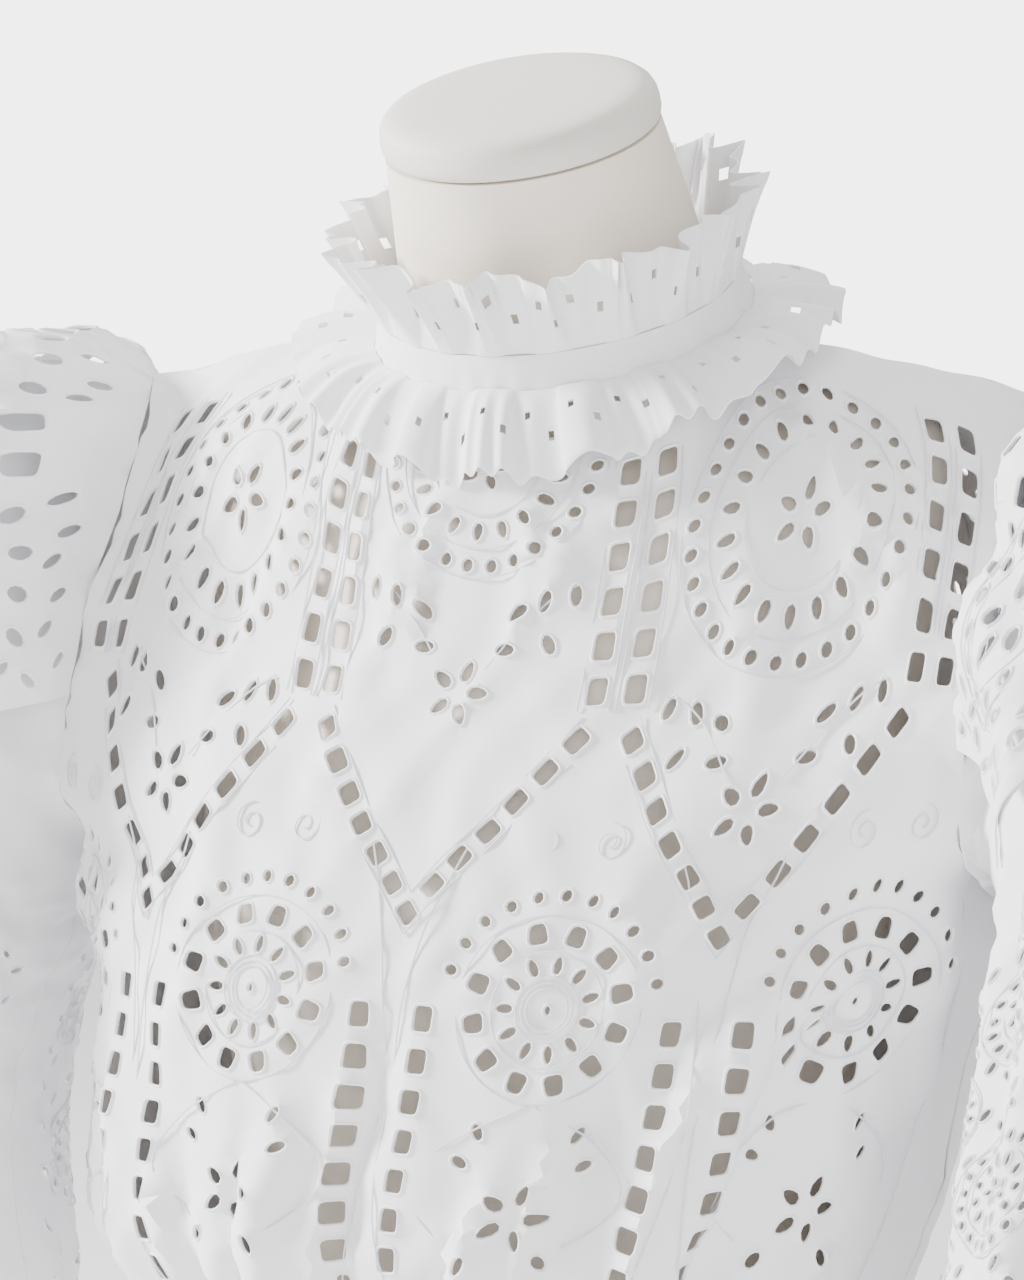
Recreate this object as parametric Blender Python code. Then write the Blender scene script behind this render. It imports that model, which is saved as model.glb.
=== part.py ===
"""Peplum blouse of white eyelet cotton on a limbless dress form.

Units are metres, +Z is up and the garment faces -Y, so the wearer's left is +X.
Each cloth panel is a table of points across its half width, a row per level,
and is laid out flat in (across, down) metres for its cut-out holes.
"""
import math

import bpy
import numpy as np
from mathutils import Vector, geometry

# Driving dimensions
CLOTH = 0.0012            # wall of the cloth pieces
SEAM_GAP = 0.0004         # clearance between neighbouring pieces
WAIST_Z = 0.307           # height of the waist seam
BODICE_LENGTH = 0.385     # flat length from the shoulder to the waist seam
BAND_HEIGHT = 0.019       # collar band
STAND_HEIGHT = 0.034      # standing ruffle above the band
FALL_WIDTH = 0.041        # falling ruffle below the band
SLEEVE_LENGTH = 0.60      # flat length from the armhole to the cuff
CAP_TIER_LENGTH = 0.150   # overlay at the sleeve head
CUFF_HEIGHT = 0.055
NECK_TILT = math.radians(22)
NECK_CENTRE = Vector((0.0, 0.015, 0.701))
NECK_HALF_WIDTH = 0.079
NECK_HALF_DEPTH = 0.0733
REPEAT = 0.128            # sideways repeat of the eyelet pattern
SQUARE_W = 0.0078         # one ladder square
SQUARE_H = 0.0098
PITCH = 0.0157            # from one ladder square to the next

# Rows of the front bodice: flat distance down, flat half width, sideways shift,
# then five points from the centre front to the side edge.
FRONT_ROWS = [
    (0.000, 0.238, 0.000, (0, -.052, .668), (.058, -.032, .679), (.0855, .010, .6985),
     (.139, .022, .692), (.195, .030, .679)),
    (0.050, 0.222, 0.000, (0, -.058, .626), (.056, -.050, .630), (.105, -.028, .646),
     (.152, -.006, .652), (.194, .004, .634)),
    (0.110, 0.215, 0.000, (0, -.078, .565), (.054, -.074, .567), (.106, -.060, .572),
     (.155, -.044, .578), (.194, -.034, .576)),
    (0.170, 0.222, 0.000, (0, -.108, .510), (.056, -.107, .508), (.108, -.098, .508),
     (.156, -.078, .512), (.194, -.050, .518)),
    (0.205, 0.285, -.002, (0, -.118, .478), (.070, -.116, .476), (.134, -.096, .477),
     (.178, -.052, .480), (.192, .018, .486)),
    (0.260, 0.285, -.006, (0, -.127, .425), (.069, -.124, .424), (.130, -.100, .425),
     (.168, -.052, .427), (.178, .018, .430)),
    (0.330, 0.285, -.016, (0, -.130, .360), (.066, -.127, .360), (.124, -.102, .360),
     (.160, -.052, .360), (.170, .018, .360)),
    (0.385, 0.285, -.012, (0, -.112, .307), (.055, -.108, .307), (.104, -.085, .307),
     (.135, -.045, .307), (.145, .015, .307)),
]

# Armhole edge of the bodice: height, y at the front, y at the back.
ARMHOLE = [(.486, .0188, .0192), (.494, -.020, .062), (.518, -.050, .094),
           (.576, -.034, .086), (.634, .004, .056), (.679, .0302, .0312)]

# The same for the back bodice, from the centre back to the side edge.
BACK_ROWS = [
    (0.000, 0.238, 0.000, (0, .088, .724), (.058, .063, .716), (.0855, .0165, .6985),
     (.139, .0246, .692), (.195, .0315, .679)),
    (0.050, 0.222, 0.000, (0, .104, .676), (.056, .099, .672), (.105, .072, .664),
     (.152, .052, .654), (.194, .056, .634)),
    (0.110, 0.215, 0.000, (0, .112, .616), (.054, .110, .612), (.106, .102, .602),
     (.155, .092, .590), (.194, .086, .576)),
    (0.170, 0.222, 0.000, (0, .114, .552), (.056, .113, .550), (.108, .108, .542),
     (.156, .100, .530), (.194, .094, .518)),
    (0.205, 0.285, -.002, (0, .112, .512), (.070, .111, .510), (.134, .100, .502),
     (.178, .074, .494), (.192, .0195, .486)),
    (0.260, 0.285, -.006, (0, .107, .446), (.069, .106, .445), (.130, .092, .441),
     (.168, .066, .436), (.178, .0195, .430)),
    (0.330, 0.285, -.016, (0, .103, .368), (.066, .101, .367), (.124, .088, .365),
     (.160, .062, .362), (.170, .0195, .360)),
    (0.385, 0.285, -.012, (0, .096, .307), (.055, .093, .307), (.104, .080, .307),
     (.135, .054, .307), (.145, .0165, .307)),
]

# Rows of a sleeve: flat distance down, outer x and z, inner x and z,
# middle y, half depth in y, flat half width of one half sleeve.
SLEEVE_ROWS = [
    (0.000, .1961, .679, .1941, .486, .022, .075, .135),
    (0.045, .238, .688, .202, .474, .014, .088, .150),
    (0.100, .283, .662, .208, .462, -.004, .098, .160),
    (0.170, .308, .600, .212, .444, -.018, .102, .160),
    (0.250, .317, .520, .212, .416, -.034, .102, .160),
    (0.345, .322, .425, .205, .374, -.048, .098, .160),
    (0.440, .328, .325, .188, .310, -.056, .092, .160),
    (0.530, .333, .225, .212, .222, -.054, .078, .150),
    (0.600, .322, .137, .246, .137, -.050, .042, .135),
]

# Rows of the dress form: middle y, height, forward tilt in degrees,
# half width, depth forward, depth back.
FORM_ROWS = [
    (.010, .000, 0, .152, .104, .100), (.010, .060, 0, .159, .110, .112),
    (.008, .130, 0, .160, .110, .116), (.005, .205, 0, .150, .100, .106),
    (.002, .285, 0, .122, .086, .082), (.000, .340, 0, .118, .084, .080),
    (-.002, .410, 0, .130, .102, .090), (-.004, .475, 0, .141, .108, .100),
    (.006, .525, 0, .148, .099, .096), (.018, .570, 0, .153, .090, .084),
    (.024, .610, 0, .158, .079, .068), (.026, .647, 0, .161, .062, .050),
    (.027, .672, 2, .148, .038, .028), (.021, .6855, 6, .100, .034, .022),
    (.016, .697, 13, .070, .043, .036), (.010, .712, 19, .065, .052, .049),
    (-.003, .739, 22, .060, .055, .055), (-.023, .778, 22, .0545, .0520, .0520),
]

# Soft folds of the front: start and end in flat metres (across, down), half
# width of the fold, height (a trough when negative).
FRONT_FOLDS = [
    (.150, .210, .118, .385, .016, .012), (.182, .215, .150, .385, .014, -.012),
    (.090, .235, .085, .385, .011, -.008), (.055, .280, .040, .385, .009, .006),
    (-.002, .225, -.015, .385, .010, -.008), (-.040, .260, -.050, .385, .010, .006),
    (-.100, .270, -.082, .385, .010, -.006), (-.150, .250, -.125, .385, .011, .006),
    (-.200, .215, -.170, .385, .013, -.008), (-.235, .240, -.215, .385, .012, .007),
    (.105, .015, .175, .085, .010, .005), (.125, .010, .205, .070, .008, -.003),
    (.100, .045, .120, .130, .008, .003), (-.090, .020, -.120, .090, .009, -.003),
    (.032, .018, .034, .060, .006, .003), (-.030, .018, -.036, .060, .006, .003),
    (.060, .020, .064, .055, .005, -.002), (-.060, .020, -.068, .055, .005, -.002),
    (.215, .160, .245, .260, .012, .006), (-.215, .160, -.250, .260, .012, .006),
]
BACK_FOLDS = [
    (.060, .240, .050, .385, .013, .006), (.120, .230, .105, .385, .013, -.007),
    (.185, .225, .165, .385, .014, .007), (-.055, .245, -.045, .385, .013, -.006),
    (-.125, .230, -.108, .385, .013, .007), (-.190, .220, -.168, .385, .014, -.007),
    (.000, .260, .004, .385, .012, .005), (.080, .030, .130, .120, .012, .003),
    (-.080, .030, -.130, .120, .012, .003), (.225, .250, .215, .385, .012, -.006),
    (-.228, .250, -.216, .385, .012, .006),
]
# Sleeve folds: start and end as (turn from the outer line in degrees, down).
SLEEVE_FOLDS = [
    (20, .000, 30, .120, 9, .006), (48, .000, 62, .150, 9, .006),
    (76, .005, 96, .200, 9, .007), (104, .010, 118, .280, 9, -.006),
    (132, .010, 128, .330, 10, .006), (-22, .000, -30, .130, 9, .006),
    (-52, .000, -60, .170, 9, .006), (-84, .005, -98, .240, 10, .006),
    (-128, .010, -120, .320, 10, .006), (10, .300, -12, .600, 12, .006),
    (58, .260, 50, .600, 11, -.007), (100, .320, 88, .600, 12, .007),
    (150, .300, 140, .600, 11, -.006), (-48, .300, -55, .600, 11, .007),
    (-95, .300, -100, .600, 12, -.006), (-150, .280, -140, .600, 12, .006),
]


def spline(keys, values, at):
    """Smooth curve through values at keys, sampled at an array of places."""
    keys = np.asarray(keys, float)
    values = np.asarray(values, float)
    steps = np.diff(keys).reshape((-1,) + (1,) * (values.ndim - 1))
    rise = np.diff(values, axis=0) / steps
    before, after = rise[:-1], rise[1:]
    same = before * after > 0
    total = np.where(same, before + after, 1.0)
    middle = np.where(same, 2 * before * after / total, 0.0)
    slopes = np.concatenate([rise[:1], middle, rise[-1:]])
    at = np.clip(np.asarray(at, float), keys[0], keys[-1])
    i = np.clip(np.searchsorted(keys, at, side="right") - 1, 0, len(keys) - 2)
    span = keys[i + 1] - keys[i]
    f = (at - keys[i]) / span
    if values.ndim > 1:
        f = f[:, None]
        span = span[:, None]
    a = values[i] * (1 + 2 * f) * (1 - f) ** 2 + values[i + 1] * f * f * (3 - 2 * f)
    b = slopes[i] * f * (1 - f) ** 2 - slopes[i + 1] * f * f * (1 - f)
    return a + b * span


def fold_height(folds, s, t, wrap=None):
    """Sum of soft ridges and troughs at flat places (s, t)."""
    total = np.zeros(len(s))
    for s0, t0, s1, t1, half, height in folds:
        f = np.clip((t - t0) / (t1 - t0), 0, 1)
        away = s - (s0 + (s1 - s0) * f)
        if wrap:
            away = (away + wrap / 2) % wrap - wrap / 2
        fade = np.clip((t - t0) / 0.04, 0, 1) * np.clip((t1 + 0.03 - t) / 0.03, 0, 1)
        total += height * np.exp(-(away / half) ** 2) * fade * fade * (3 - 2 * fade)
    return total


def panel_surface(rows, folds, facing):
    """Surface of a bodice panel: flat (s, t) in, points in space out."""
    down = [row[0] for row in rows]
    half = [row[1] for row in rows]
    lanes = []
    for side in (-1, 1):
        order = (4, 3, 2, 1) if side < 0 else (0, 1, 2, 3, 4)
        for k in order:
            lanes.append([(row[2] + side * row[3 + k][0], row[3 + k][1], row[3 + k][2])
                          for row in rows])

    def place(s, t):
        across = np.clip(s / spline(down, half, t), -1, 1) * 4 + 4
        at_lanes = np.stack([spline(down, lane, t) for lane in lanes], axis=1)
        i = np.clip(np.floor(across).astype(int), 0, 7)
        f = (across - i)[:, None]
        n = np.arange(len(s))
        p1, p2 = at_lanes[n, i], at_lanes[n, i + 1]
        p0 = at_lanes[n, np.maximum(i - 1, 0)]
        p3 = at_lanes[n, np.minimum(i + 2, 8)]
        m1 = np.where((i > 0)[:, None], (p2 - p0) / 2, p2 - p1)
        m2 = np.where((i < 7)[:, None], (p3 - p1) / 2, p2 - p1)
        points = (p1 * (1 + 2 * f) * (1 - f) ** 2 + p2 * f * f * (3 - 2 * f)
                  + m1 * f * (1 - f) ** 2 - m2 * f * f * (1 - f))
        return points

    def lifted(s, t):
        edge = np.clip((spline(down, half, t) - np.abs(s)) / 0.03, 0, 1)
        ends = np.clip(t / 0.02, 0, 1) * np.clip((BODICE_LENGTH - t) / 0.012, 0.25, 1)
        height = fold_height(folds, s, t) * edge * ends
        return place(s, t) + normals(place, s, t, facing) * height[:, None]

    lifted.half_width = lambda t: spline(down, half, t)
    return lifted


def normals(place, s, t, facing):
    """Unit normals by small steps; facing is +1 or -1 for outward."""
    d = 0.0008
    a = place(s + d, t) - place(s - d, t)
    b = place(s, t + d) - place(s, t - d)
    n = np.cross(a, b) * facing
    length = np.linalg.norm(n, axis=1)
    return n / np.maximum(length, 1e-12)[:, None]


def sleeve_point(side):
    """Sleeve surface: turn in degrees from the outer line, flat distance down."""
    down = [row[0] for row in SLEEVE_ROWS]
    table = np.array([row[1:7] for row in SLEEVE_ROWS])
    heights, front_y, back_y = np.array(ARMHOLE).T

    def place(turn, t):
        out_x, out_z, in_x, in_z, mid_y, half_y = spline(down, table, t).T
        away = 0.020 * np.clip((t - 0.15) / 0.25, 0, 1) if side < 0 else 0.0
        c = np.cos(np.radians(turn))
        q = np.sin(np.radians(turn))
        x = (out_x + in_x) / 2 + c * (out_x - in_x) / 2 + away
        z = (out_z + in_z) / 2 + c * (out_z - in_z) / 2
        y = mid_y - q * half_y
        seam_y = np.where(q > 0, spline(heights, front_y, z), spline(heights, back_y, z))
        join = np.clip(t / 0.042, 0, 1)
        y = seam_y * (1 - join) + y * join
        return np.stack([side * x, y, z], axis=1)

    def lifted(turn, t, raise_by=0.0):
        ends = np.clip(t / 0.03, 0, 1) * np.clip((SLEEVE_LENGTH - t) / 0.05, 0, 1)
        inner = 1 - 0.75 * np.clip((np.abs(turn) - 120) / 40, 0, 1)
        height = fold_height(SLEEVE_FOLDS, turn, t, 360) * ends * inner + raise_by
        return place(turn, t) + outward(place, turn, t) * height[:, None]

    return lifted


def outward(place, turn, t):
    a = place(turn + 0.5, t) - place(turn - 0.5, t)
    b = place(turn, t + 0.0008) - place(turn, t - 0.0008)
    n = np.cross(a, b)
    n /= np.maximum(np.linalg.norm(n, axis=1), 1e-12)[:, None]
    middle = (place(turn * 0, t) + place(turn * 0 + 180, t)) / 2
    flip = np.sign(np.sum(n * (place(turn, t) - middle), axis=1))
    return n * flip[:, None]


def material(name, colour, roughness):
    mat = bpy.data.materials.new(name)
    mat.use_nodes = True
    shader = mat.node_tree.nodes["Principled BSDF"]
    shader.inputs["Base Color"].default_value = (*colour, 1.0)
    shader.inputs["Roughness"].default_value = roughness
    return mat


def add_object(name, verts, faces, colour, roughness=0.85):
    mesh = bpy.data.meshes.new(name)
    mesh.from_pydata([tuple(map(float, v)) for v in verts], [], faces)
    mesh.validate()
    mesh.update()
    obj = bpy.data.objects.new(name, mesh)
    bpy.context.scene.collection.objects.link(obj)
    mesh.materials.append(material(name + "_surface", colour, roughness))
    return obj


WHITE = (0.86, 0.86, 0.88)
CREAM = (0.78, 0.74, 0.68)


def square_hole(s, t, wide, high, angle=0.0):
    """Four-cornered hole, turned by angle in the flat cloth."""
    c, q = math.cos(angle), math.sin(angle)
    corners = [(-.5, -.5), (.5, -.5), (.5, .5), (-.5, .5)]
    return [(s + a * wide * c - b * high * q, t + a * wide * q + b * high * c)
            for a, b in corners]


def line_of_squares(start, end, count, wide=SQUARE_W, high=SQUARE_H, skip_first=False):
    """Squares along a straight line of the flat cloth, set across that line."""
    angle = math.atan2(end[1] - start[1], end[0] - start[0]) - math.pi / 2
    holes = []
    for k in range(1 if skip_first else 0, count):
        f = k / (count - 1)
        holes.append(square_hole(start[0] + (end[0] - start[0]) * f,
                                 start[1] + (end[1] - start[1]) * f, wide, high, angle))
    return holes


def upper_pattern(top):
    """Double ladders and the V lines that hang from them."""
    holes = []
    for centre, first in ((0.5, 0), (-0.5, 0), (1.5, 0), (-1.5, 0)):
        middle = centre * REPEAT
        for offset in (-.0075, .0075):
            for k in range(6):
                holes.append(square_hole(middle + offset, top + k * PITCH,
                                         SQUARE_W, SQUARE_H))
    for centre in (-1, 0, 1):
        middle = centre * REPEAT
        bottom = (middle, top + 0.166 if centre == 0 else top + 0.168)
        for side in (-1, 1):
            start = (middle + side * 0.0530, top + 6 * PITCH + 0.002)
            holes += line_of_squares(bottom, start, 7, 0.0072, 0.0090,
                                     skip_first=side > 0)
    return holes


def lower_pattern(top, count, sides, rosettes):
    """Single ladders beside each lower cell and the outer ring of its rosette."""
    holes = []
    for s in sides:
        for k in range(count):
            lean = 0.0006 * max(0, k - 5) ** 2
            holes.append(square_hole(s - math.copysign(lean, s), top + k * PITCH * 1.04,
                                     SQUARE_W, SQUARE_H))
    for s in rosettes:
        for k in range(12):
            a = math.radians(15 + 30 * k)
            holes.append(square_hole(s + 0.030 * math.sin(a),
                                     top - 0.010 - 0.030 * math.cos(a),
                                     0.0072, 0.0082, a))
    return holes


def flat_triangles(outline, holes, step):
    """Triangulate a flat outline with holes; base points keep clear of holes."""
    points = [Vector(p) for p in outline]
    edges = [(k, (k + 1) % len(points)) for k in range(len(points))]
    owner = [-1] * len(points)
    for index, hole in enumerate(holes):
        first = len(points)
        points += [Vector(p) for p in hole]
        owner += [index] * len(hole)
        edges += [(first + k, first + (k + 1) % len(hole)) for k in range(len(hole))]
    centres = np.array([np.mean(hole, axis=0) for hole in holes]) if holes else None
    line = np.array(outline)
    low, high = line.min(axis=0), line.max(axis=0)
    following = np.roll(line, -1, axis=0)
    cols = max(2, int(round((high[0] - low[0]) / step)))
    rows = max(2, int(round((high[1] - low[1]) / step)))
    for r in range(1, rows):
        for c in range(1, cols):
            p = np.array((low[0] + (high[0] - low[0]) * (c + 0.5 * (r % 2)) / cols,
                          low[1] + (high[1] - low[1]) * r / rows))
            if centres is not None and np.min(np.hypot(*(centres - p).T)) < step * 0.62:
                continue
            crosses = (line[:, 1] > p[1]) != (following[:, 1] > p[1])
            with np.errstate(divide="ignore", invalid="ignore"):
                cut = (line[:, 0] + (p[1] - line[:, 1]) * (following[:, 0] - line[:, 0])
                       / (following[:, 1] - line[:, 1]))
            if np.count_nonzero(crosses & (cut > p[0])) % 2 == 0:
                continue
            if np.min(np.hypot(*(line - p).T)) < step * 0.5:
                continue
            points.append(Vector(p))
            owner.append(-2)
    result = geometry.delaunay_2d_cdt(points, edges, [], 1, 1e-7, True)
    flat = np.array([tuple(v) for v in result[0]])
    source = [owner[ids[0]] if ids else -2 for ids in result[3]]
    faces = []
    for tri in result[2]:
        ids = {source[k] for k in tri}
        if len(ids) == 1 and min(ids) >= 0:
            continue
        faces.append(tuple(tri))
    return flat, faces


def thin_solid(name, outer, inner, faces, colour=WHITE):
    """Close two matching skins with walls along every open edge."""
    used = sorted({k for f in faces for k in f})
    index = {k: i for i, k in enumerate(used)}
    faces = [tuple(index[k] for k in f) for f in faces]
    verts = [outer[k] for k in used] + [inner[k] for k in used]
    n = len(used)
    directed = {}
    for f in faces:
        for a, b in zip(f, f[1:] + f[:1]):
            directed[(a, b)] = True
    walls = [(b, a, a + n, b + n) for a, b in directed if (b, a) not in directed]
    back = [tuple(k + n for k in reversed(f)) for f in faces]
    return add_object(name, verts, faces + back + walls, colour)


def cut_panel(name, surface, facing, outline, holes, step, seams):
    """A cut-through cloth panel. seams gives wall directions near some edges."""
    flat, faces = flat_triangles(outline, holes, step)
    s, t = flat[:, 0], flat[:, 1]
    outer = surface(s, t)
    n = normals(surface, s, t, facing)
    for weight, direction in seams:
        w = weight(s, t)[:, None]
        n = n * (1 - w) + np.array(direction(s, t)) * w
    n /= np.linalg.norm(n, axis=1)[:, None]
    if facing < 0:
        faces = [tuple(reversed(f)) for f in faces]
    return thin_solid(name, outer, outer - n * CLOTH, faces)


def panel_outline(half_width, length, start, count_down, count_across, trim):
    """Outline of a panel whose half width changes down its length."""
    downs = np.linspace(start, length, count_down)
    half = half_width(downs) - trim
    right = [(h, t) for h, t in zip(half, downs)]
    left = [(-h, t) for h, t in zip(half, downs)][::-1]
    across = np.linspace(-1, 1, count_across)[1:-1]
    top = [(half[0] * a, start) for a in across]
    bottom = [(half[-1] * a, length) for a in across[::-1]]
    return right + bottom + left + top


def bodice_panel(name, rows, folds, facing, holes, step):
    surface = panel_surface(rows, folds, facing)
    outline = panel_outline(surface.half_width, BODICE_LENGTH - SEAM_GAP, 0.0002,
                            22, 27, 0.0003)

    def near_top(s, t):
        return np.clip(1 - t / 0.012, 0, 1)

    def near_side(s, t):
        return np.clip(1 - (surface.half_width(t) - np.abs(s)) / 0.012, 0, 1)

    def upward(s, t):
        return np.stack([0 * s, 0 * s, 1 + 0 * s], axis=1)

    def sideways(s, t):
        return np.stack([np.sign(s), 0 * s, 0 * s], axis=1)

    seams = [(near_top, upward), (near_side, sideways)]
    return cut_panel(name, surface, facing, outline, holes, step, seams), surface


def half_sleeve(name, side, front, holes, step):
    """Front or back half of a sleeve, flat across in half-width metres."""
    place = sleeve_point(side)
    down = [row[0] for row in SLEEVE_ROWS]
    half = [row[7] for row in SLEEVE_ROWS]
    sign = 1 if front else -1

    def surface(s, t):
        turn = 90 + 90 * s / spline(down, half, t)
        under_tier = np.clip(t / 0.012, 0, 1) * np.clip((0.16 - t) / 0.03, 0, 1)
        return place(sign * turn, t, -0.004 * under_tier)

    outline = panel_outline(lambda t: spline(down, half, t), SLEEVE_LENGTH, 0.0004,
                            20, 9, 0.0003)
    facing = 1 if (side > 0) == front else -1

    def at_seam(s, t):
        return np.clip(1 - (spline(down, half, t) - np.abs(s)) / 0.02, 0, 1)

    def across(s, t):
        outer = np.clip(-np.sign(s), -1, 1)
        d = place(0 * s, t) - place(0 * s + 180, t)
        d /= np.linalg.norm(d, axis=1)[:, None]
        return d * outer[:, None]

    def at_top(s, t):
        return np.clip(1 - t / 0.01, 0, 1)

    def from_middle(s, t):
        n = np.array([0.0, 1.0, 1.0]) * (surface(s, t) - np.array([0, .022, .5825]))
        return n / np.linalg.norm(n, axis=1)[:, None]

    seams = [(at_top, from_middle), (at_seam, across)]
    return cut_panel(name, surface, facing, outline, holes, step, seams)


def grid_solid(name, point, cols, rows, wall, closed, colour=WHITE):
    """Wall between point(u, v, 0) and point(u, v, wall), u and v from 0 to 1."""
    count = cols if closed else cols + 1
    u = np.repeat(np.arange(count) / cols, rows + 1)
    v = np.tile(np.arange(rows + 1) / rows, count)
    outer, inner = point(u, v, 0.0), point(u, v, wall)
    faces = []
    for c in range(cols):
        a, b = c * (rows + 1), ((c + 1) % count) * (rows + 1)
        for r in range(rows):
            faces.append((a + r, b + r, b + r + 1))
            faces.append((a + r, b + r + 1, a + r + 1))
    probe = np.cross(outer[rows + 1] - outer[0], outer[1] - outer[0])
    if np.dot(probe, outer[0] - inner[0]) < 0:
        faces = [tuple(reversed(f)) for f in faces]
    return thin_solid(name, outer, inner, faces, colour)


def neck_ring(turn, grow, rise):
    """Point on the tilted neck ellipse: turn 0 is the centre front."""
    c, q = np.cos(NECK_TILT), np.sin(NECK_TILT)
    x = (NECK_HALF_WIDTH + grow) * np.sin(turn)
    f = (NECK_HALF_DEPTH + grow) * np.cos(turn)
    return np.stack([x, NECK_CENTRE.y - f * c - rise * q,
                     NECK_CENTRE.z - f * q + rise * c], axis=1)


def collar_band():
    def point(u, v, depth):
        return neck_ring(u * math.tau, -0.0009 - 0.005 * v - depth, BAND_HEIGHT * v)
    return grid_solid("collar_band", point, 40, 1, CLOTH, True)


def uneven(turn, waves, seed):
    """Box-like uneven waves round a ring, about -1 to 1."""
    drift = 0.8 * np.sin(turn * 3 + seed) + 0.5 * np.sin(turn * 5 + 2 * seed)
    wave = np.sin(turn * waves + drift)
    size = 0.75 + 0.25 * np.sin(turn * 7 + seed * 1.7)
    return np.tanh(1.6 * wave) * size


def standing_ruffle():
    def point(u, v, depth):
        turn = u * math.tau
        wave = uneven(turn, 19, 0.6)
        lean = 0.010 * v ** 1.2 + 0.0065 * wave * (0.12 + 0.88 * v)
        height = STAND_HEIGHT * (1 + 0.10 * uneven(turn, 11, 2.1))
        return neck_ring(turn + 0.05 * v * np.cos(turn * 19), -0.006 + lean - depth,
                         BAND_HEIGHT + SEAM_GAP + height * v)
    return grid_solid("standing_ruffle", point, 100, 2, 0.0010, True)


def falling_ruffle():
    def point(u, v, depth):
        turn = u * math.tau
        wave = uneven(turn, 17, 1.4)
        side = np.sin(turn) ** 2
        out = -0.0021 + 0.0015 * wave * v + FALL_WIDTH * (0.46 + 0.42 * side) * v
        rise = 0.006 - 0.0280 * v * (1 - 0.52 * side) + 0.0042 * wave * (0.2 + 0.8 * v)
        rise = rise + 0.004 * np.sin(v * math.pi) + 0.010 * v * side
        return neck_ring(turn, out, rise + depth * 0.9)
    return grid_solid("falling_ruffle", point, 90, 2, 0.0011, True)


def ring(mid_y, height, tilt, half_width, forward, back, sides):
    """One closed section of the form, tilted forward by some degrees."""
    points = []
    for k in range(sides):
        a = math.tau * k / sides
        x = half_width * math.sin(a)
        f = math.cos(a)
        f *= forward if f > 0 else back
        r = math.radians(tilt)
        points.append((x, mid_y - f * math.cos(r), height - f * math.sin(r)))
    return points


def loft(name, rings, colour, roughness):
    """Closed solid through rings of equal count, flat at both ends."""
    n = len(rings[0])
    verts = [p for one in rings for p in one]
    faces = [tuple(range(n))[::-1]]
    for r in range(len(rings) - 1):
        for k in range(n):
            a, b = r * n + k, r * n + (k + 1) % n
            faces.append((a, b, b + n, a + n))
    faces.append(tuple((len(rings) - 1) * n + k for k in range(n)))
    return add_object(name, verts, faces, colour, roughness)


def dress_form():
    rings = [ring(*row, 24) for row in FORM_ROWS]
    loft("form_torso", rings, CREAM, 0.7)


def neck_cap():
    top_y, top_z, tilt = FORM_ROWS[-1][0], FORM_ROWS[-1][1], 22
    profile = [(0.0004, -.0030), (0.0012, -.0006), (0.0030, .0008), (0.0095, .0008),
               (0.0135, -.0008), (0.0162, -.0042), (0.0172, -.0095)]
    rings = []
    for rise, grow in profile:
        y = top_y - rise * math.sin(math.radians(tilt))
        z = top_z + rise * math.cos(math.radians(tilt))
        rings.append(ring(y, z, tilt, .0545 + grow, .0520 + grow, .0520 + grow, 24))
    loft("form_neck_cap", rings, (0.82, 0.79, 0.74), 0.6)


def tier_place(u, v, side):
    """Turn, flat distance down and height above the sleeve of the cap tier."""
    turn = (u - 0.5) * 215
    t = 0.010 + (CAP_TIER_LENGTH - 0.010) * v * (1 - 0.10 * (2 * u - 1) ** 2)
    wave = np.sin(np.radians(turn) * 8.8 + side) * (0.35 + 0.65 * (1 - v))
    lift = 0.0044 + 0.0064 * np.clip(8 * v, 0, 1) + 0.0020 * v
    return turn, t, lift + 0.0020 * wave * np.clip(3 * v, 0, 1)


def cap_tier(name, side):
    """Gathered overlay that lies on the sleeve head."""
    place = sleeve_point(side)

    def point(u, v, depth):
        turn, t, lift = tier_place(u, v ** 1.5, side)
        return place(turn, t, lift - depth)

    grid_solid(name, point, 28, 4, CLOTH, False)


def tier_hem(name, side):
    """Stitched band along the lower edge of the cap tier."""
    place = sleeve_point(side)

    def point(u, v, depth):
        turn, t, lift = tier_place(u, 0.93 + 0.075 * v, side)
        return place(turn, t, lift + 0.0011 + 0.0011 - depth)

    grid_solid(name, point, 28, 1, 0.0011, False)


def cuff(name, side):
    def point(u, v, depth):
        turn = u * math.tau
        top = SLEEVE_ROWS[-1]
        x = side * ((top[1] + top[3]) / 2 + 0.020 * (side < 0))
        rx = (top[1] - top[3]) / 2 - 0.001 * v - depth
        ry = top[6] - 0.003 * v - depth
        return np.stack([x + rx * np.cos(turn), top[5] - ry * np.sin(turn),
                         top[2] - SEAM_GAP * 1.5 - CUFF_HEIGHT * v], axis=1)
    grid_solid(name, point, 20, 1, 0.0016, True)


def peplum(name, facing):
    """Gathered skirt piece from the waist seam to the hem."""
    waist, hem = (.145, .112 if facing > 0 else .096), (.180, .148 if facing > 0 else .134)

    def point(u, v, depth):
        turn = (u - 0.5) * (math.pi - 0.008)
        grow = v ** 0.9
        wave = uneven(turn, 22, 0.9 + facing) * (0.0020 + 0.0065 * v) * (v > 0)
        keep = np.clip(np.minimum(u, 1 - u) / 0.03, 0, 1)
        a = waist[0] + (hem[0] - waist[0]) * grow + wave * keep - depth
        b = waist[1] + (hem[1] - waist[1]) * grow + wave * keep - depth
        shift = -0.012 + 0.008 * v
        x = shift + a * np.sin(turn)
        y = 0.0165 * (1 - v) + 0.012 * v - facing * (b + 0.0157) * np.cos(turn)
        return np.stack([x, y - facing * 0.0004,
                         WAIST_Z - SEAM_GAP * 1.5 - (0.157) * v], axis=1)

    grid_solid(name, point, 50, 2, CLOTH, False)


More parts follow.
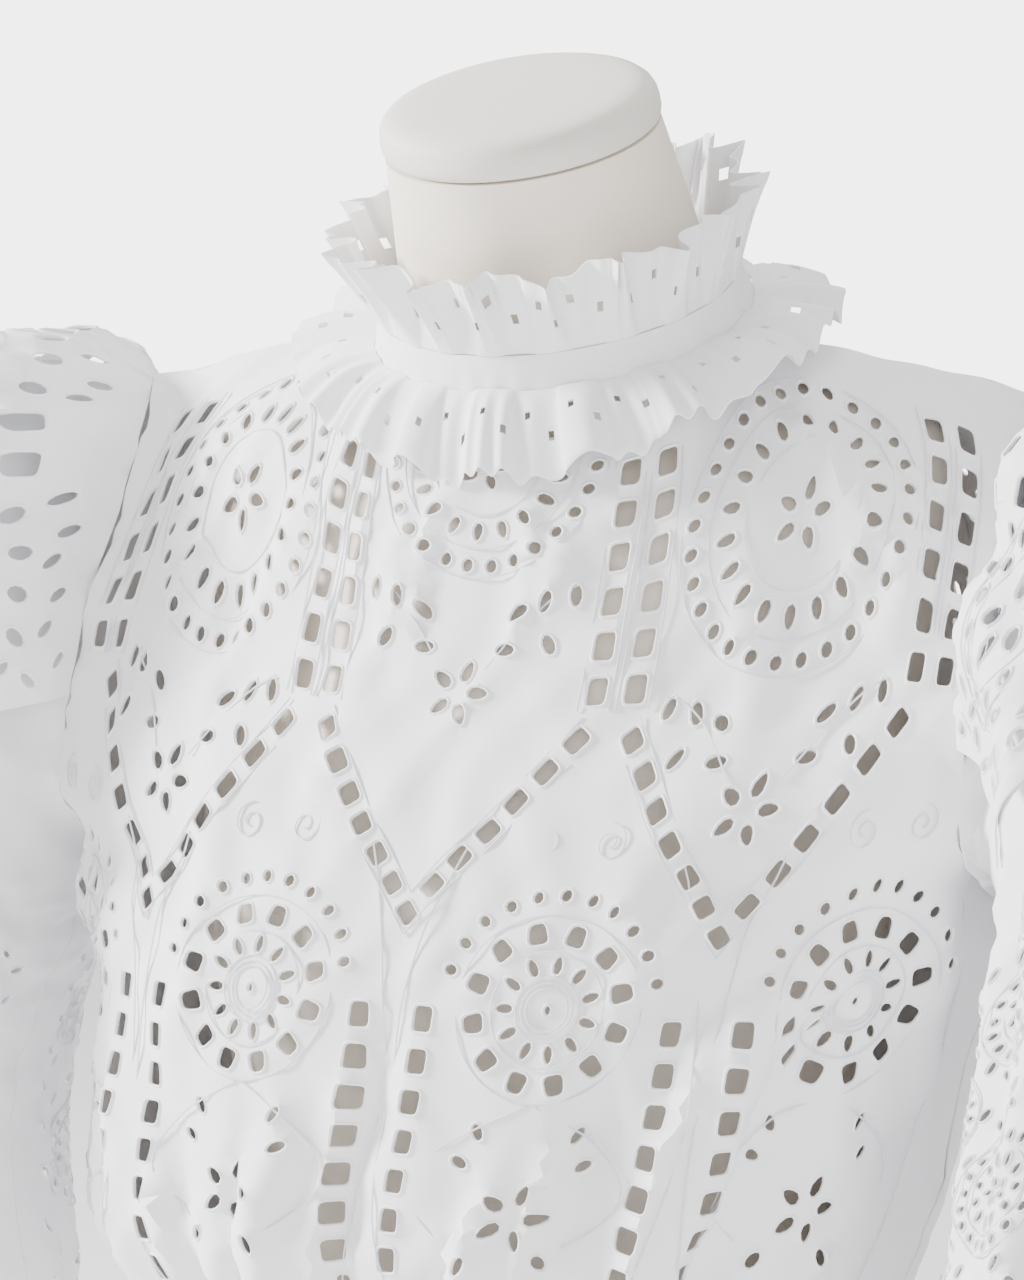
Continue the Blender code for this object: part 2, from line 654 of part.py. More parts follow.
def back_placket(surface):
    """Closing strip down the centre back with its buttons."""
    def point(u, v, depth):
        s = (u - 0.5) * 0.024
        t = 0.003 + 0.180 * v
        return surface(s, t) + normals(surface, s, t, 1) * (0.0018 - depth)
    grid_solid("back_placket", point, 2, 10, 0.0013, False)
    for k in range(4):
        s, t = np.zeros(1), np.array([0.022 + 0.045 * k])
        middle = surface(s, t)[0]
        n = Vector(normals(surface, s, t, 1)[0])
        side = n.cross(Vector((0, 0, 1))).normalized()
        up = side.cross(n)
        rings = []
        for rise, radius in ((0.0022, .0050), (0.0028, .0055), (0.0040, .0055),
                             (0.0046, .0049)):
            rings.append([tuple(Vector(middle) + n * rise
                                + (side * math.cos(a) - up * math.sin(a)) * radius)
                          for a in (math.tau * j / 9 for j in range(9))])
        loft("button_%d" % (k + 1), rings, (0.9, 0.89, 0.86), 0.35)


def clear_scene():
    for obj in list(bpy.data.objects):
        bpy.data.objects.remove(obj, do_unlink=True)


def main():
    clear_scene()
    dress_form()
    neck_cap()
    front_holes = upper_pattern(0.0300) + lower_pattern(
        0.236, 9, (-.142, -.114, -.014, .014, .114, .142), (-.064, .064))
    bodice_panel("front_bodice", FRONT_ROWS, FRONT_FOLDS, -1, front_holes, 0.024)
    back_holes = upper_pattern(0.0480)
    _, back = bodice_panel("back_bodice", BACK_ROWS, BACK_FOLDS, 1, back_holes, 0.034)
    collar_band()
    standing_ruffle()
    falling_ruffle()
    for label, side in (("left", 1), ("right", -1)):
        holes = []
        for k in range(10):
            holes.append(square_hole(-.030, .190 + k * PITCH * 1.1, SQUARE_W, SQUARE_H))
        half_sleeve("sleeve_front_" + label, side, True, holes, 0.036)
        half_sleeve("sleeve_back_" + label, side, False, [], 0.036)
        cap_tier("cap_tier_" + label, side)
        tier_hem("tier_hem_" + label, side)
        cuff("cuff_" + label, side)
    peplum("peplum_front", 1)
    peplum("peplum_back", -1)
    back_placket(back)


main()
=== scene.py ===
import math

import bpy
import numpy as np
from bpy.props import FloatProperty, IntProperty, PointerProperty
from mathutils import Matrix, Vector, geometry


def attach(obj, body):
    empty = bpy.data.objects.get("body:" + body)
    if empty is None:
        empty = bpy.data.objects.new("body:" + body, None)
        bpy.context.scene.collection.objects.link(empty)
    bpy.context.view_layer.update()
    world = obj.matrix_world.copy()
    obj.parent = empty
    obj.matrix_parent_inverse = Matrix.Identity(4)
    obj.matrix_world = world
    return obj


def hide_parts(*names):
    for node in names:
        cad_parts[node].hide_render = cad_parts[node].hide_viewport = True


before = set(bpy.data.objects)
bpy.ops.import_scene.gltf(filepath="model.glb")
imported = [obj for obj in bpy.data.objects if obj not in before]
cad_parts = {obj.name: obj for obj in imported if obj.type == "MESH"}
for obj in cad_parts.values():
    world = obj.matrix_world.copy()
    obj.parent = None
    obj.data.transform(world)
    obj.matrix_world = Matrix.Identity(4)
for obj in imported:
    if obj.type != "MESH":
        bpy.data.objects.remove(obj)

bl_info = {
    "name": "Eyelet Blouse",
    "version": (1, 0, 0),
    "blender": (4, 5, 0),
    "location": "View3D > Sidebar > Blouse",
    "description": "Builds the looks of an eyelet peplum blouse on a dress form",
    "category": "Add Mesh",
}

# Driving dimensions, the same as the solid model's, in metres
CLOTH = 0.0012            # wall of the cloth pieces
SEAM_GAP = 0.0004         # clearance between neighbouring pieces
WAIST_Z = 0.307           # height of the waist seam
BODICE_LENGTH = 0.385     # flat length from the shoulder to the waist seam
BAND_HEIGHT = 0.019       # collar band
STAND_HEIGHT = 0.034      # standing ruffle above the band
FALL_WIDTH = 0.041        # falling ruffle below the band
SLEEVE_LENGTH = 0.60      # flat length from the armhole to the cuff
CAP_TIER_LENGTH = 0.150   # overlay at the sleeve head
TIER_HALF = 0.15          # half of a cap tier's flat width
TIER_DROP = 0.140         # flat drop of a cap tier's pattern
CUFF_HEIGHT = 0.055
NECK_TILT = math.radians(22)
NECK_CENTRE = Vector((0.0, 0.015, 0.701))
NECK_HALF_WIDTH = 0.079
NECK_HALF_DEPTH = 0.0733
REPEAT = 0.128            # sideways repeat of the eyelet pattern
SQUARE_W = 0.0078         # one ladder square
SQUARE_H = 0.0098
PITCH = 0.0157            # from one ladder square to the next
PEPLUM_LENGTH = 0.157     # drop from the waist seam to the hem
RUFFLE_CLOTH = 0.0008     # thin wall of both ruffles
HEM_CLOTH = 0.0009        # wall of the peplum and the tier hems
RIM_WIDTH = 0.0013        # satin rim round a hole
HOLE_GAP = 0.0016         # least cloth between two holes
CORD_RADIUS = 0.0004      # cord stitch
CRINKLE = 0.0009          # size of the cloth's small waves


# Rows of the front bodice: flat distance down, flat half width, sideways shift,
# then five points from the centre front to the side edge.
FRONT_ROWS = [
    (0.000, 0.238, 0.000, (0, -.052, .668), (.058, -.032, .679), (.0855, .010, .6985),
     (.139, .022, .692), (.195, .030, .679)),
    (0.050, 0.222, 0.000, (0, -.058, .626), (.056, -.050, .630), (.105, -.028, .646),
     (.152, -.006, .652), (.194, .004, .634)),
    (0.110, 0.215, 0.000, (0, -.078, .565), (.054, -.074, .567), (.106, -.060, .572),
     (.155, -.044, .578), (.194, -.034, .576)),
    (0.170, 0.222, 0.000, (0, -.108, .510), (.056, -.107, .508), (.108, -.098, .508),
     (.156, -.078, .512), (.194, -.050, .518)),
    (0.205, 0.285, -.002, (0, -.118, .478), (.070, -.116, .476), (.134, -.096, .477),
     (.178, -.052, .480), (.192, .018, .486)),
    (0.260, 0.285, -.006, (0, -.127, .425), (.069, -.124, .424), (.130, -.100, .425),
     (.168, -.052, .427), (.178, .018, .430)),
    (0.330, 0.285, -.016, (0, -.130, .360), (.066, -.127, .360), (.124, -.102, .360),
     (.160, -.052, .360), (.170, .018, .360)),
    (0.385, 0.285, -.012, (0, -.112, .307), (.055, -.108, .307), (.104, -.085, .307),
     (.135, -.045, .307), (.145, .015, .307)),
]

# Armhole edge of the bodice: height, y at the front, y at the back.
ARMHOLE = [(.486, .0188, .0192), (.494, -.020, .062), (.518, -.050, .094),
           (.576, -.034, .086), (.634, .004, .056), (.679, .0302, .0312)]

# The same for the back bodice, from the centre back to the side edge.
BACK_ROWS = [
    (0.000, 0.238, 0.000, (0, .088, .724), (.058, .063, .716), (.0855, .0165, .6985),
     (.139, .0246, .692), (.195, .0315, .679)),
    (0.050, 0.222, 0.000, (0, .104, .676), (.056, .099, .672), (.105, .072, .664),
     (.152, .052, .654), (.194, .056, .634)),
    (0.110, 0.215, 0.000, (0, .112, .616), (.054, .110, .612), (.106, .102, .602),
     (.155, .092, .590), (.194, .086, .576)),
    (0.170, 0.222, 0.000, (0, .114, .552), (.056, .113, .550), (.108, .108, .542),
     (.156, .100, .530), (.194, .094, .518)),
    (0.205, 0.285, -.002, (0, .112, .512), (.070, .111, .510), (.134, .100, .502),
     (.178, .074, .494), (.192, .0195, .486)),
    (0.260, 0.285, -.006, (0, .107, .446), (.069, .106, .445), (.130, .092, .441),
     (.168, .066, .436), (.178, .0195, .430)),
    (0.330, 0.285, -.016, (0, .103, .368), (.066, .101, .367), (.124, .088, .365),
     (.160, .062, .362), (.170, .0195, .360)),
    (0.385, 0.285, -.012, (0, .096, .307), (.055, .093, .307), (.104, .080, .307),
     (.135, .054, .307), (.145, .0165, .307)),
]

# Rows of a sleeve: flat distance down, outer x and z, inner x and z,
# middle y, half depth in y, flat half width of one half sleeve.
SLEEVE_ROWS = [
    (0.000, .1961, .679, .1941, .486, .022, .075, .135),
    (0.045, .238, .688, .202, .474, .014, .088, .150),
    (0.100, .283, .662, .208, .462, -.004, .098, .160),
    (0.170, .308, .600, .212, .444, -.018, .102, .160),
    (0.250, .317, .520, .212, .416, -.034, .102, .160),
    (0.345, .322, .425, .205, .374, -.048, .098, .160),
    (0.440, .328, .325, .188, .310, -.056, .092, .160),
    (0.530, .333, .225, .212, .222, -.054, .078, .150),
    (0.600, .322, .137, .246, .137, -.050, .042, .135),
]

# Rows of the dress form: middle y, height, forward tilt in degrees,
# half width, depth forward, depth back.
FORM_ROWS = [
    (.010, .000, 0, .152, .104, .100), (.010, .060, 0, .159, .110, .112),
    (.008, .130, 0, .160, .110, .116), (.005, .205, 0, .150, .100, .106),
    (.002, .285, 0, .122, .086, .082), (.000, .340, 0, .118, .084, .080),
    (-.002, .410, 0, .130, .102, .090), (-.004, .475, 0, .141, .108, .100),
    (.006, .525, 0, .148, .099, .096), (.018, .570, 0, .153, .090, .084),
    (.024, .610, 0, .158, .079, .068), (.026, .647, 0, .161, .062, .050),
    (.027, .672, 2, .148, .038, .028), (.021, .6855, 6, .100, .034, .022),
    (.016, .697, 13, .070, .043, .036), (.010, .712, 19, .065, .052, .049),
    (-.003, .739, 22, .060, .055, .055), (-.023, .778, 22, .0545, .0520, .0520),
]

# Soft folds of the front: start and end in flat metres (across, down), half
# width of the fold, height (a trough when negative).
FRONT_FOLDS = [
    (.150, .210, .118, .385, .016, .012), (.182, .215, .150, .385, .014, -.012),
    (.090, .235, .085, .385, .011, -.008), (.055, .280, .040, .385, .009, .006),
    (-.002, .225, -.015, .385, .010, -.008), (-.040, .260, -.050, .385, .010, .006),
    (-.100, .270, -.082, .385, .010, -.006), (-.150, .250, -.125, .385, .011, .006),
    (-.200, .215, -.170, .385, .013, -.008), (-.235, .240, -.215, .385, .012, .007),
    (.105, .015, .175, .085, .010, .005), (.125, .010, .205, .070, .008, -.003),
    (.100, .045, .120, .130, .008, .003), (-.090, .020, -.120, .090, .009, -.003),
    (.032, .018, .034, .060, .006, .003), (-.030, .018, -.036, .060, .006, .003),
    (.060, .020, .064, .055, .005, -.002), (-.060, .020, -.068, .055, .005, -.002),
    (.215, .160, .245, .260, .012, .006), (-.215, .160, -.250, .260, .012, .006),
]
# Smaller pressed creases of the front, as the folds: start, end, half width, height.
FRONT_CREASES = [
    (.108, .012, .150, .062, .004, .0035), (.118, .020, .178, .058, .004, -.0029),
    (.135, .050, .205, .090, .005, .0035), (.060, .016, .062, .070, .003, .0022),
    (.022, .016, .020, .075, .004, .0026), (-.018, .016, -.024, .080, .004, .0026),
    (-.050, .016, -.055, .070, .003, .0022), (-.120, .020, -.160, .120, .005, .0029),
    (.128, .225, .108, .385, .005, .0064), (.168, .205, .140, .385, .005, -.0064),
    (.078, .260, .068, .385, .005, .0048), (.048, .285, .032, .385, .004, -.0042),
    (-.012, .235, -.024, .385, .005, .0048), (-.058, .270, -.062, .385, .004, -.0038),
    (-.110, .290, -.092, .385, .005, .0045), (-.178, .235, -.150, .385, .005, .0054),
    (-.215, .225, -.190, .385, .005, -.0048), (.012, .120, .010, .230, .008, .0019),
    (-.090, .130, -.100, .240, .008, .0022), (.090, .140, .096, .230, .008, .0022),
]
BACK_FOLDS = [
    (.060, .240, .050, .385, .013, .006), (.120, .230, .105, .385, .013, -.007),
    (.185, .225, .165, .385, .014, .007), (-.055, .245, -.045, .385, .013, -.006),
    (-.125, .230, -.108, .385, .013, .007), (-.190, .220, -.168, .385, .014, -.007),
    (.000, .260, .004, .385, .012, .005), (.080, .030, .130, .120, .012, .003),
    (-.080, .030, -.130, .120, .012, .003), (.225, .250, .215, .385, .012, -.006),
    (-.228, .250, -.216, .385, .012, .006),
]
# Sleeve folds: start and end as (turn from the outer line in degrees, down).
SLEEVE_FOLDS = [
    (20, .000, 30, .120, 9, .006), (48, .000, 62, .150, 9, .006),
    (76, .005, 96, .200, 9, .007), (104, .010, 118, .280, 9, -.006),
    (132, .010, 128, .330, 10, .006), (-22, .000, -30, .130, 9, .006),
    (-52, .000, -60, .170, 9, .006), (-84, .005, -98, .240, 10, .006),
    (-128, .010, -120, .320, 10, .006), (10, .300, -12, .600, 12, .006),
    (58, .260, 50, .600, 11, -.007), (100, .320, 88, .600, 12, .007),
    (150, .300, 140, .600, 11, -.006), (-48, .300, -55, .600, 11, .007),
    (-95, .300, -100, .600, 12, -.006), (-150, .280, -140, .600, 12, .006),
]


def spline(keys, values, at):
    """Smooth curve through values at keys, sampled at an array of places."""
    keys = np.asarray(keys, float)
    values = np.asarray(values, float)
    steps = np.diff(keys).reshape((-1,) + (1,) * (values.ndim - 1))
    rise = np.diff(values, axis=0) / steps
    before, after = rise[:-1], rise[1:]
    same = before * after > 0
    total = np.where(same, before + after, 1.0)
    middle = np.where(same, 2 * before * after / total, 0.0)
    slopes = np.concatenate([rise[:1], middle, rise[-1:]])
    at = np.clip(np.asarray(at, float), keys[0], keys[-1])
    i = np.clip(np.searchsorted(keys, at, side="right") - 1, 0, len(keys) - 2)
    span = keys[i + 1] - keys[i]
    f = (at - keys[i]) / span
    if values.ndim > 1:
        f = f[:, None]
        span = span[:, None]
    a = values[i] * (1 + 2 * f) * (1 - f) ** 2 + values[i + 1] * f * f * (3 - 2 * f)
    b = slopes[i] * f * (1 - f) ** 2 - slopes[i + 1] * f * f * (1 - f)
    return a + b * span


def fold_height(folds, s, t, wrap=None):
    """Sum of soft ridges and troughs at flat places (s, t)."""
    total = np.zeros(len(s))
    for s0, t0, s1, t1, half, height in folds:
        f = np.clip((t - t0) / (t1 - t0), 0, 1)
        away = s - (s0 + (s1 - s0) * f)
        if wrap:
            away = (away + wrap / 2) % wrap - wrap / 2
        fade = np.clip((t - t0) / 0.04, 0, 1) * np.clip((t1 + 0.03 - t) / 0.03, 0, 1)
        total += height * np.exp(-(away / half) ** 2) * fade * fade * (3 - 2 * fade)
    return total


def panel_surface(rows, folds, facing):
    """Surface of a bodice panel: flat (s, t) in, points in space out."""
    down = [row[0] for row in rows]
    half = [row[1] for row in rows]
    lanes = []
    for side in (-1, 1):
        order = (4, 3, 2, 1) if side < 0 else (0, 1, 2, 3, 4)
        for k in order:
            lanes.append([(row[2] + side * row[3 + k][0], row[3 + k][1], row[3 + k][2])
                          for row in rows])

    def place(s, t):
        across = np.clip(s / spline(down, half, t), -1, 1) * 4 + 4
        at_lanes = np.stack([spline(down, lane, t) for lane in lanes], axis=1)
        i = np.clip(np.floor(across).astype(int), 0, 7)
        f = (across - i)[:, None]
        n = np.arange(len(s))
        p1, p2 = at_lanes[n, i], at_lanes[n, i + 1]
        p0 = at_lanes[n, np.maximum(i - 1, 0)]
        p3 = at_lanes[n, np.minimum(i + 2, 8)]
        m1 = np.where((i > 0)[:, None], (p2 - p0) / 2, p2 - p1)
        m2 = np.where((i < 7)[:, None], (p3 - p1) / 2, p2 - p1)
        return (p1 * (1 + 2 * f) * (1 - f) ** 2 + p2 * f * f * (3 - 2 * f)
                + m1 * f * (1 - f) ** 2 - m2 * f * f * (1 - f))

    def lifted(s, t):
        edge = np.clip((spline(down, half, t) - np.abs(s)) / 0.03, 0, 1)
        ends = np.clip(t / 0.02, 0, 1) * np.clip((BODICE_LENGTH - t) / 0.012, 0.25, 1)
        height = fold_height(folds, s, t) * edge * ends
        return place(s, t) + normals(place, s, t, facing) * height[:, None]

    lifted.half_width = lambda t: spline(down, half, t)
    return lifted


def normals(place, s, t, facing):
    """Unit normals by small steps; facing is +1 or -1 for outward."""
    d = 0.0008
    a = place(s + d, t) - place(s - d, t)
    b = place(s, t + d) - place(s, t - d)
    n = np.cross(a, b) * facing
    length = np.linalg.norm(n, axis=1)
    return n / np.maximum(length, 1e-12)[:, None]


def sleeve_point(side):
    """Sleeve surface: turn in degrees from the outer line, flat distance down."""
    down = [row[0] for row in SLEEVE_ROWS]
    table = np.array([row[1:7] for row in SLEEVE_ROWS])
    heights, front_y, back_y = np.array(ARMHOLE).T

    def place(turn, t):
        out_x, out_z, in_x, in_z, mid_y, half_y = spline(down, table, t).T
        away = 0.020 * np.clip((t - 0.15) / 0.25, 0, 1) if side < 0 else 0.0
        c = np.cos(np.radians(turn))
        q = np.sin(np.radians(turn))
        x = (out_x + in_x) / 2 + c * (out_x - in_x) / 2 + away
        z = (out_z + in_z) / 2 + c * (out_z - in_z) / 2
        y = mid_y - q * half_y
        seam_y = np.where(q > 0, spline(heights, front_y, z), spline(heights, back_y, z))
        join = np.clip(t / 0.042, 0, 1)
        y = seam_y * (1 - join) + y * join
        return np.stack([side * x, y, z], axis=1)

    def lifted(turn, t, raise_by=0.0):
        ends = np.clip(t / 0.03, 0, 1) * np.clip((SLEEVE_LENGTH - t) / 0.05, 0, 1)
        inner = 1 - 0.75 * np.clip((np.abs(turn) - 120) / 40, 0, 1)
        height = fold_height(SLEEVE_FOLDS, turn, t, 360) * ends * inner + raise_by
        return place(turn, t) + outward(place, turn, t) * height[:, None]

    return lifted


def outward(place, turn, t):
    a = place(turn + 0.5, t) - place(turn - 0.5, t)
    b = place(turn, t + 0.0008) - place(turn, t - 0.0008)
    n = np.cross(a, b)
    n /= np.maximum(np.linalg.norm(n, axis=1), 1e-12)[:, None]
    middle = (place(turn * 0, t) + place(turn * 0 + 180, t)) / 2
    flip = np.sign(np.sum(n * (place(turn, t) - middle), axis=1))
    return n * flip[:, None]


def neck_ring(turn, grow, rise):
    """Point on the tilted neck ellipse: turn 0 is the centre front."""
    c, q = np.cos(NECK_TILT), np.sin(NECK_TILT)
    x = (NECK_HALF_WIDTH + grow) * np.sin(turn)
    f = (NECK_HALF_DEPTH + grow) * np.cos(turn)
    return np.stack([x, NECK_CENTRE.y - f * c - rise * q,
                     NECK_CENTRE.z - f * q + rise * c], axis=1)


def uneven(turn, waves, seed):
    """Box-like uneven waves round a ring, about -1 to 1."""
    drift = 0.8 * np.sin(turn * 3 + seed) + 0.5 * np.sin(turn * 5 + 2 * seed)
    wave = np.sin(turn * waves + drift)
    size = 0.75 + 0.25 * np.sin(turn * 7 + seed * 1.7)
    return np.tanh(1.6 * wave) * size


def tier_place(u, v, side):
    """Turn, flat distance down and height above the sleeve of the cap tier."""
    turn = (u - 0.5) * 215
    t = 0.010 + (CAP_TIER_LENGTH - 0.010) * v * (1 - 0.10 * (2 * u - 1) ** 2)
    wave = np.sin(np.radians(turn) * 8.8 + side) * (0.35 + 0.65 * (1 - v))
    lift = 0.0044 + 0.0064 * np.clip(8 * v, 0, 1) + 0.0020 * v
    return turn, t, lift + 0.0020 * wave * np.clip(3 * v, 0, 1)


def panel_outline(half_width, length, start, count_down, count_across, trim):
    """Outline of a panel whose half width changes down its length."""
    downs = np.linspace(start, length, count_down)
    half = half_width(downs) - trim
    right = [(h, t) for h, t in zip(half, downs)]
    left = [(-h, t) for h, t in zip(half, downs)][::-1]
    across = np.linspace(-1, 1, count_across)[1:-1]
    top = [(half[0] * a, start) for a in across]
    bottom = [(half[-1] * a, length) for a in across[::-1]]
    return right + bottom + left + top


def set_inputs(node, values):
    for name, value in values.items():
        node.inputs[name].default_value = value


def plain_finish(name, colour, roughness, specular):
    """New material with its shader's main values."""
    mat = bpy.data.materials.new(name)
    mat.use_nodes = True
    set_inputs(mat.node_tree.nodes["Principled BSDF"],
               {"Base Color": (*colour, 1), "Roughness": roughness,
                "Specular IOR Level": specular})
    return mat


def noise_bump(mat, noise_values, strength, distance, below=None):
    """Noise bump on Object coordinates, laid over the bump below it."""
    nodes, links = mat.node_tree.nodes, mat.node_tree.links
    place = nodes.new("ShaderNodeTexCoord")
    noise = nodes.new("ShaderNodeTexNoise")
    set_inputs(noise, noise_values)
    bump = nodes.new("ShaderNodeBump")
    set_inputs(bump, {"Strength": strength, "Distance": distance})
    links.new(place.outputs["Object"], noise.inputs["Vector"])
    links.new(noise.outputs["Fac"], bump.inputs["Height"])
    if below:
        links.new(below.outputs["Normal"], bump.inputs["Normal"])
    links.new(bump.outputs["Normal"], nodes["Principled BSDF"].inputs["Normal"])
    return bump


def cotton(name, colour, crinkled):
    """White cotton cloth: fine weave and crinkle bump, a little light let through."""
    mat = plain_finish(name, colour, 0.82, 0.25)
    nodes, links = mat.node_tree.nodes, mat.node_tree.links
    shader = nodes["Principled BSDF"]
    shader.inputs["Sheen Weight"].default_value = 0.15
    soft = noise_bump(mat, {"Scale": 55, "Detail": 5, "Distortion": 0.6}, crinkled, 0.0016)
    noise_bump(mat, {"Scale": 1400, "Detail": 1}, 0.22, 0.0003, soft)
    glow = nodes.new("ShaderNodeBsdfTranslucent")
    glow.inputs["Color"].default_value = (*colour, 1)
    mix = nodes.new("ShaderNodeMixShader")
    mix.inputs["Fac"].default_value = 0.26
    links.new(shader.outputs["BSDF"], mix.inputs[1])
    links.new(glow.outputs["BSDF"], mix.inputs[2])
    links.new(mix.outputs["Shader"], nodes["Material Output"].inputs["Surface"])
    return mat


def cover(name, colour, roughness, grain):
    """Close knit or smooth cover of the form."""
    mat = plain_finish(name, colour, roughness, 0.3)
    noise_bump(mat, {"Scale": 900, "Detail": 2}, grain, 0.0004)
    return mat


# Each finish: how it is made, its colour and the rest of its values.
FINISHES = {
    "eyelet_cotton": (cotton, (0.76, 0.762, 0.80), 0.7),
    "satin_stitch": (cotton, (0.83, 0.83, 0.86), 0.05),
    "form_knit": (cover, (0.84, 0.765, 0.67), 0.8, 0.35),
    "form_cap": (cover, (0.72, 0.68, 0.62), 0.6, 0.12),
    "button_shell": (cover, (0.85, 0.84, 0.81), 0.3, 0.0),
}


def shared(key):
    """One of the scene's few materials, made the first time it is asked for."""
    made = bpy.data.materials.get(key)
    if not made:
        make, *looks = FINISHES[key]
        made = make(key, *looks)
    return made


def add_mesh(name, verts, faces, key, smooth=38):
    mesh = bpy.data.meshes.new(name)
    mesh.from_pydata([tuple(map(float, v)) for v in verts], [], faces)
    mesh.update()
    obj = bpy.data.objects.new(name, mesh)
    bpy.context.scene.collection.objects.link(obj)
    mesh.materials.append(shared(key))
    bpy.ops.object.select_all(action="DESELECT")
    obj.select_set(True)
    bpy.context.view_layer.objects.active = obj
    bpy.ops.object.shade_smooth_by_angle(angle=math.radians(smooth))
    obj.select_set(False)
    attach(obj, "root")
    return obj


def closed_cloth(name, outer, inner, faces):
    """Two matching skins with walls along every open edge."""
    used = sorted({k for f in faces for k in f})
    index = {k: i for i, k in enumerate(used)}
    faces = [tuple(index[k] for k in f) for f in faces]
    n = len(used)
    directed = {(a, b) for f in faces for a, b in zip(f, f[1:] + f[:1])}
    walls = [(b, a, a + n, b + n) for a, b in directed if (b, a) not in directed]
    back = [tuple(k + n for k in reversed(f)) for f in faces]
    verts = [outer[k] for k in used] + [inner[k] for k in used]
    return add_mesh(name, verts, faces + back + walls, "eyelet_cotton")


def soft_hole(s, t, wide, high, angle=0.0, power=2.0, count=10, taper=0.0):
    """Eyelet loop: an ellipse, rounded square (high power) or tapered petal."""
    loop = []
    c, q = math.cos(angle), math.sin(angle)
    for k in range(count):
        a = math.tau * (k + 0.5) / count
        x = math.copysign(abs(math.cos(a)) ** (2 / power), math.cos(a))
        y = math.copysign(abs(math.sin(a)) ** (2 / power), math.sin(a))
        x, y = x * wide / 2 * (1 - taper * y), y * high / 2
        loop.append((s + x * c - y * q, t + x * q + y * c))
    return loop


def square(s, t, wide=SQUARE_W, high=SQUARE_H, angle=0.0):
    return soft_hole(s, t, wide, high, angle, 5.0, 12)


def ring_of(s, t, radius, count, wide, high, power=2.0, taper=0.0, start=0.0,
            span=math.tau):
    """Eyelets round a circle, each pointing away from its middle."""
    holes = []
    for k in range(count):
        a = start + span * k / count
        holes.append(soft_hole(s + radius * math.sin(a), t - radius * math.cos(a),
                               wide, high, a, power, 9, taper))
    return holes


def flower(s, t, size=1.0, petals=5, turn=0.3):
    return ring_of(s, t, 0.0086 * size, petals, 0.0046 * size, 0.0078 * size,
                   2.0, -0.25, turn)


def circle_line(s, t, radius, start=0.0, span=math.tau, steps=40):
    return [(s + radius * math.sin(start + span * k / steps),
             t - radius * math.cos(start + span * k / steps)) for k in range(steps + 1)]


def scroll(s, t, hand):
    """Small spiral of cord stitch."""
    return [(s + hand * (0.0075 - 0.0062 * f) * math.sin(f * 9.5),
             t - (0.0075 - 0.0062 * f) * math.cos(f * 9.5))
            for f in (k / 30 for k in range(31))]


def upper_cell(s, t):
    """Circle motif of the upper cells: two rings, leaf sprays and a flower."""
    holes = ring_of(s, t, 0.0430, 28, 0.0044, 0.0050, start=0.1)
    holes += ring_of(s, t, 0.0295, 18, 0.0040, 0.0074, taper=-0.2, start=0.05)
    holes += flower(s, t, 0.9)
    for side in (-1, 1):
        for dx, dy, lean in ((.020, .060, .9), (.031, .056, .3), (.042, .054, -.2),
                             (.017, .073, 1.6), (.034, .071, -.6)):
            holes.append(soft_hole(s + side * dx, t + dy, .0044, .0080, side * lean))
    holes += flower(s, t + 0.089, 1.0)
    lines = [circle_line(s, t, r) for r in (0.0475, 0.0365, 0.0225)]
    for side in (-1, 1):
        lines.append([(s + side * (.044 - .034 * f), t + .050 + .030 * f ** 1.6)
                      for f in (k / 12 for k in range(13))])
    return holes, lines


def lower_cell(s, t):
    """Shield motif of the lower cells: arc, rosette, leaves and a flower."""
    holes = []
    for k in range(11):
        a = math.radians(-75 + 15 * k)
        holes.append(soft_hole(s + 0.043 * math.sin(a), t - 0.045 * math.cos(a),
                               .0042, .0050, a, 2.0, 8))
    holes += [soft_hole(s + 0.030 * math.sin(a), t - 0.030 * math.cos(a), .0074, .0084,
                        a, 3.6, 12, -0.12) for a in
              (math.radians(15 + 30 * k) for k in range(12))]
    holes += ring_of(s, t, 0.0175, 11, 0.0036, 0.0072, taper=-0.15, start=0.1)
    holes += ring_of(s, t, 0.0, 1, 0.0022, 0.0034)
    for side in (-1, 1):
        for dx, dy, lean in ((.020, .050, .5), (.025, .063, 1.1), (.016, .104, -.5)):
            holes.append(soft_hole(s + side * dx, t + dy, .0042, .0074, side * lean))
    holes += flower(s + 0.002, t + 0.084, 1.15)
    lines = [circle_line(s, t, r) for r in (0.0085, 0.0105, 0.0128, 0.0228, 0.0372)]
    lines += [scroll(s - 0.013, t - 0.066, -1), scroll(s + 0.013, t - 0.066, 1)]
    for side in (-1, 1):
        lines.append([(s + side * (0.002 + 0.042 * math.sin(f * 2.6)),
                       t + 0.038 + 0.060 * f) for f in (k / 14 for k in range(15))])
        lines.append([(s + side * (0.062 - 0.018 * (2 * f - 1) ** 2),
                       t - 0.060 + 0.200 * f) for f in (k / 24 for k in range(25))])
    return holes, lines


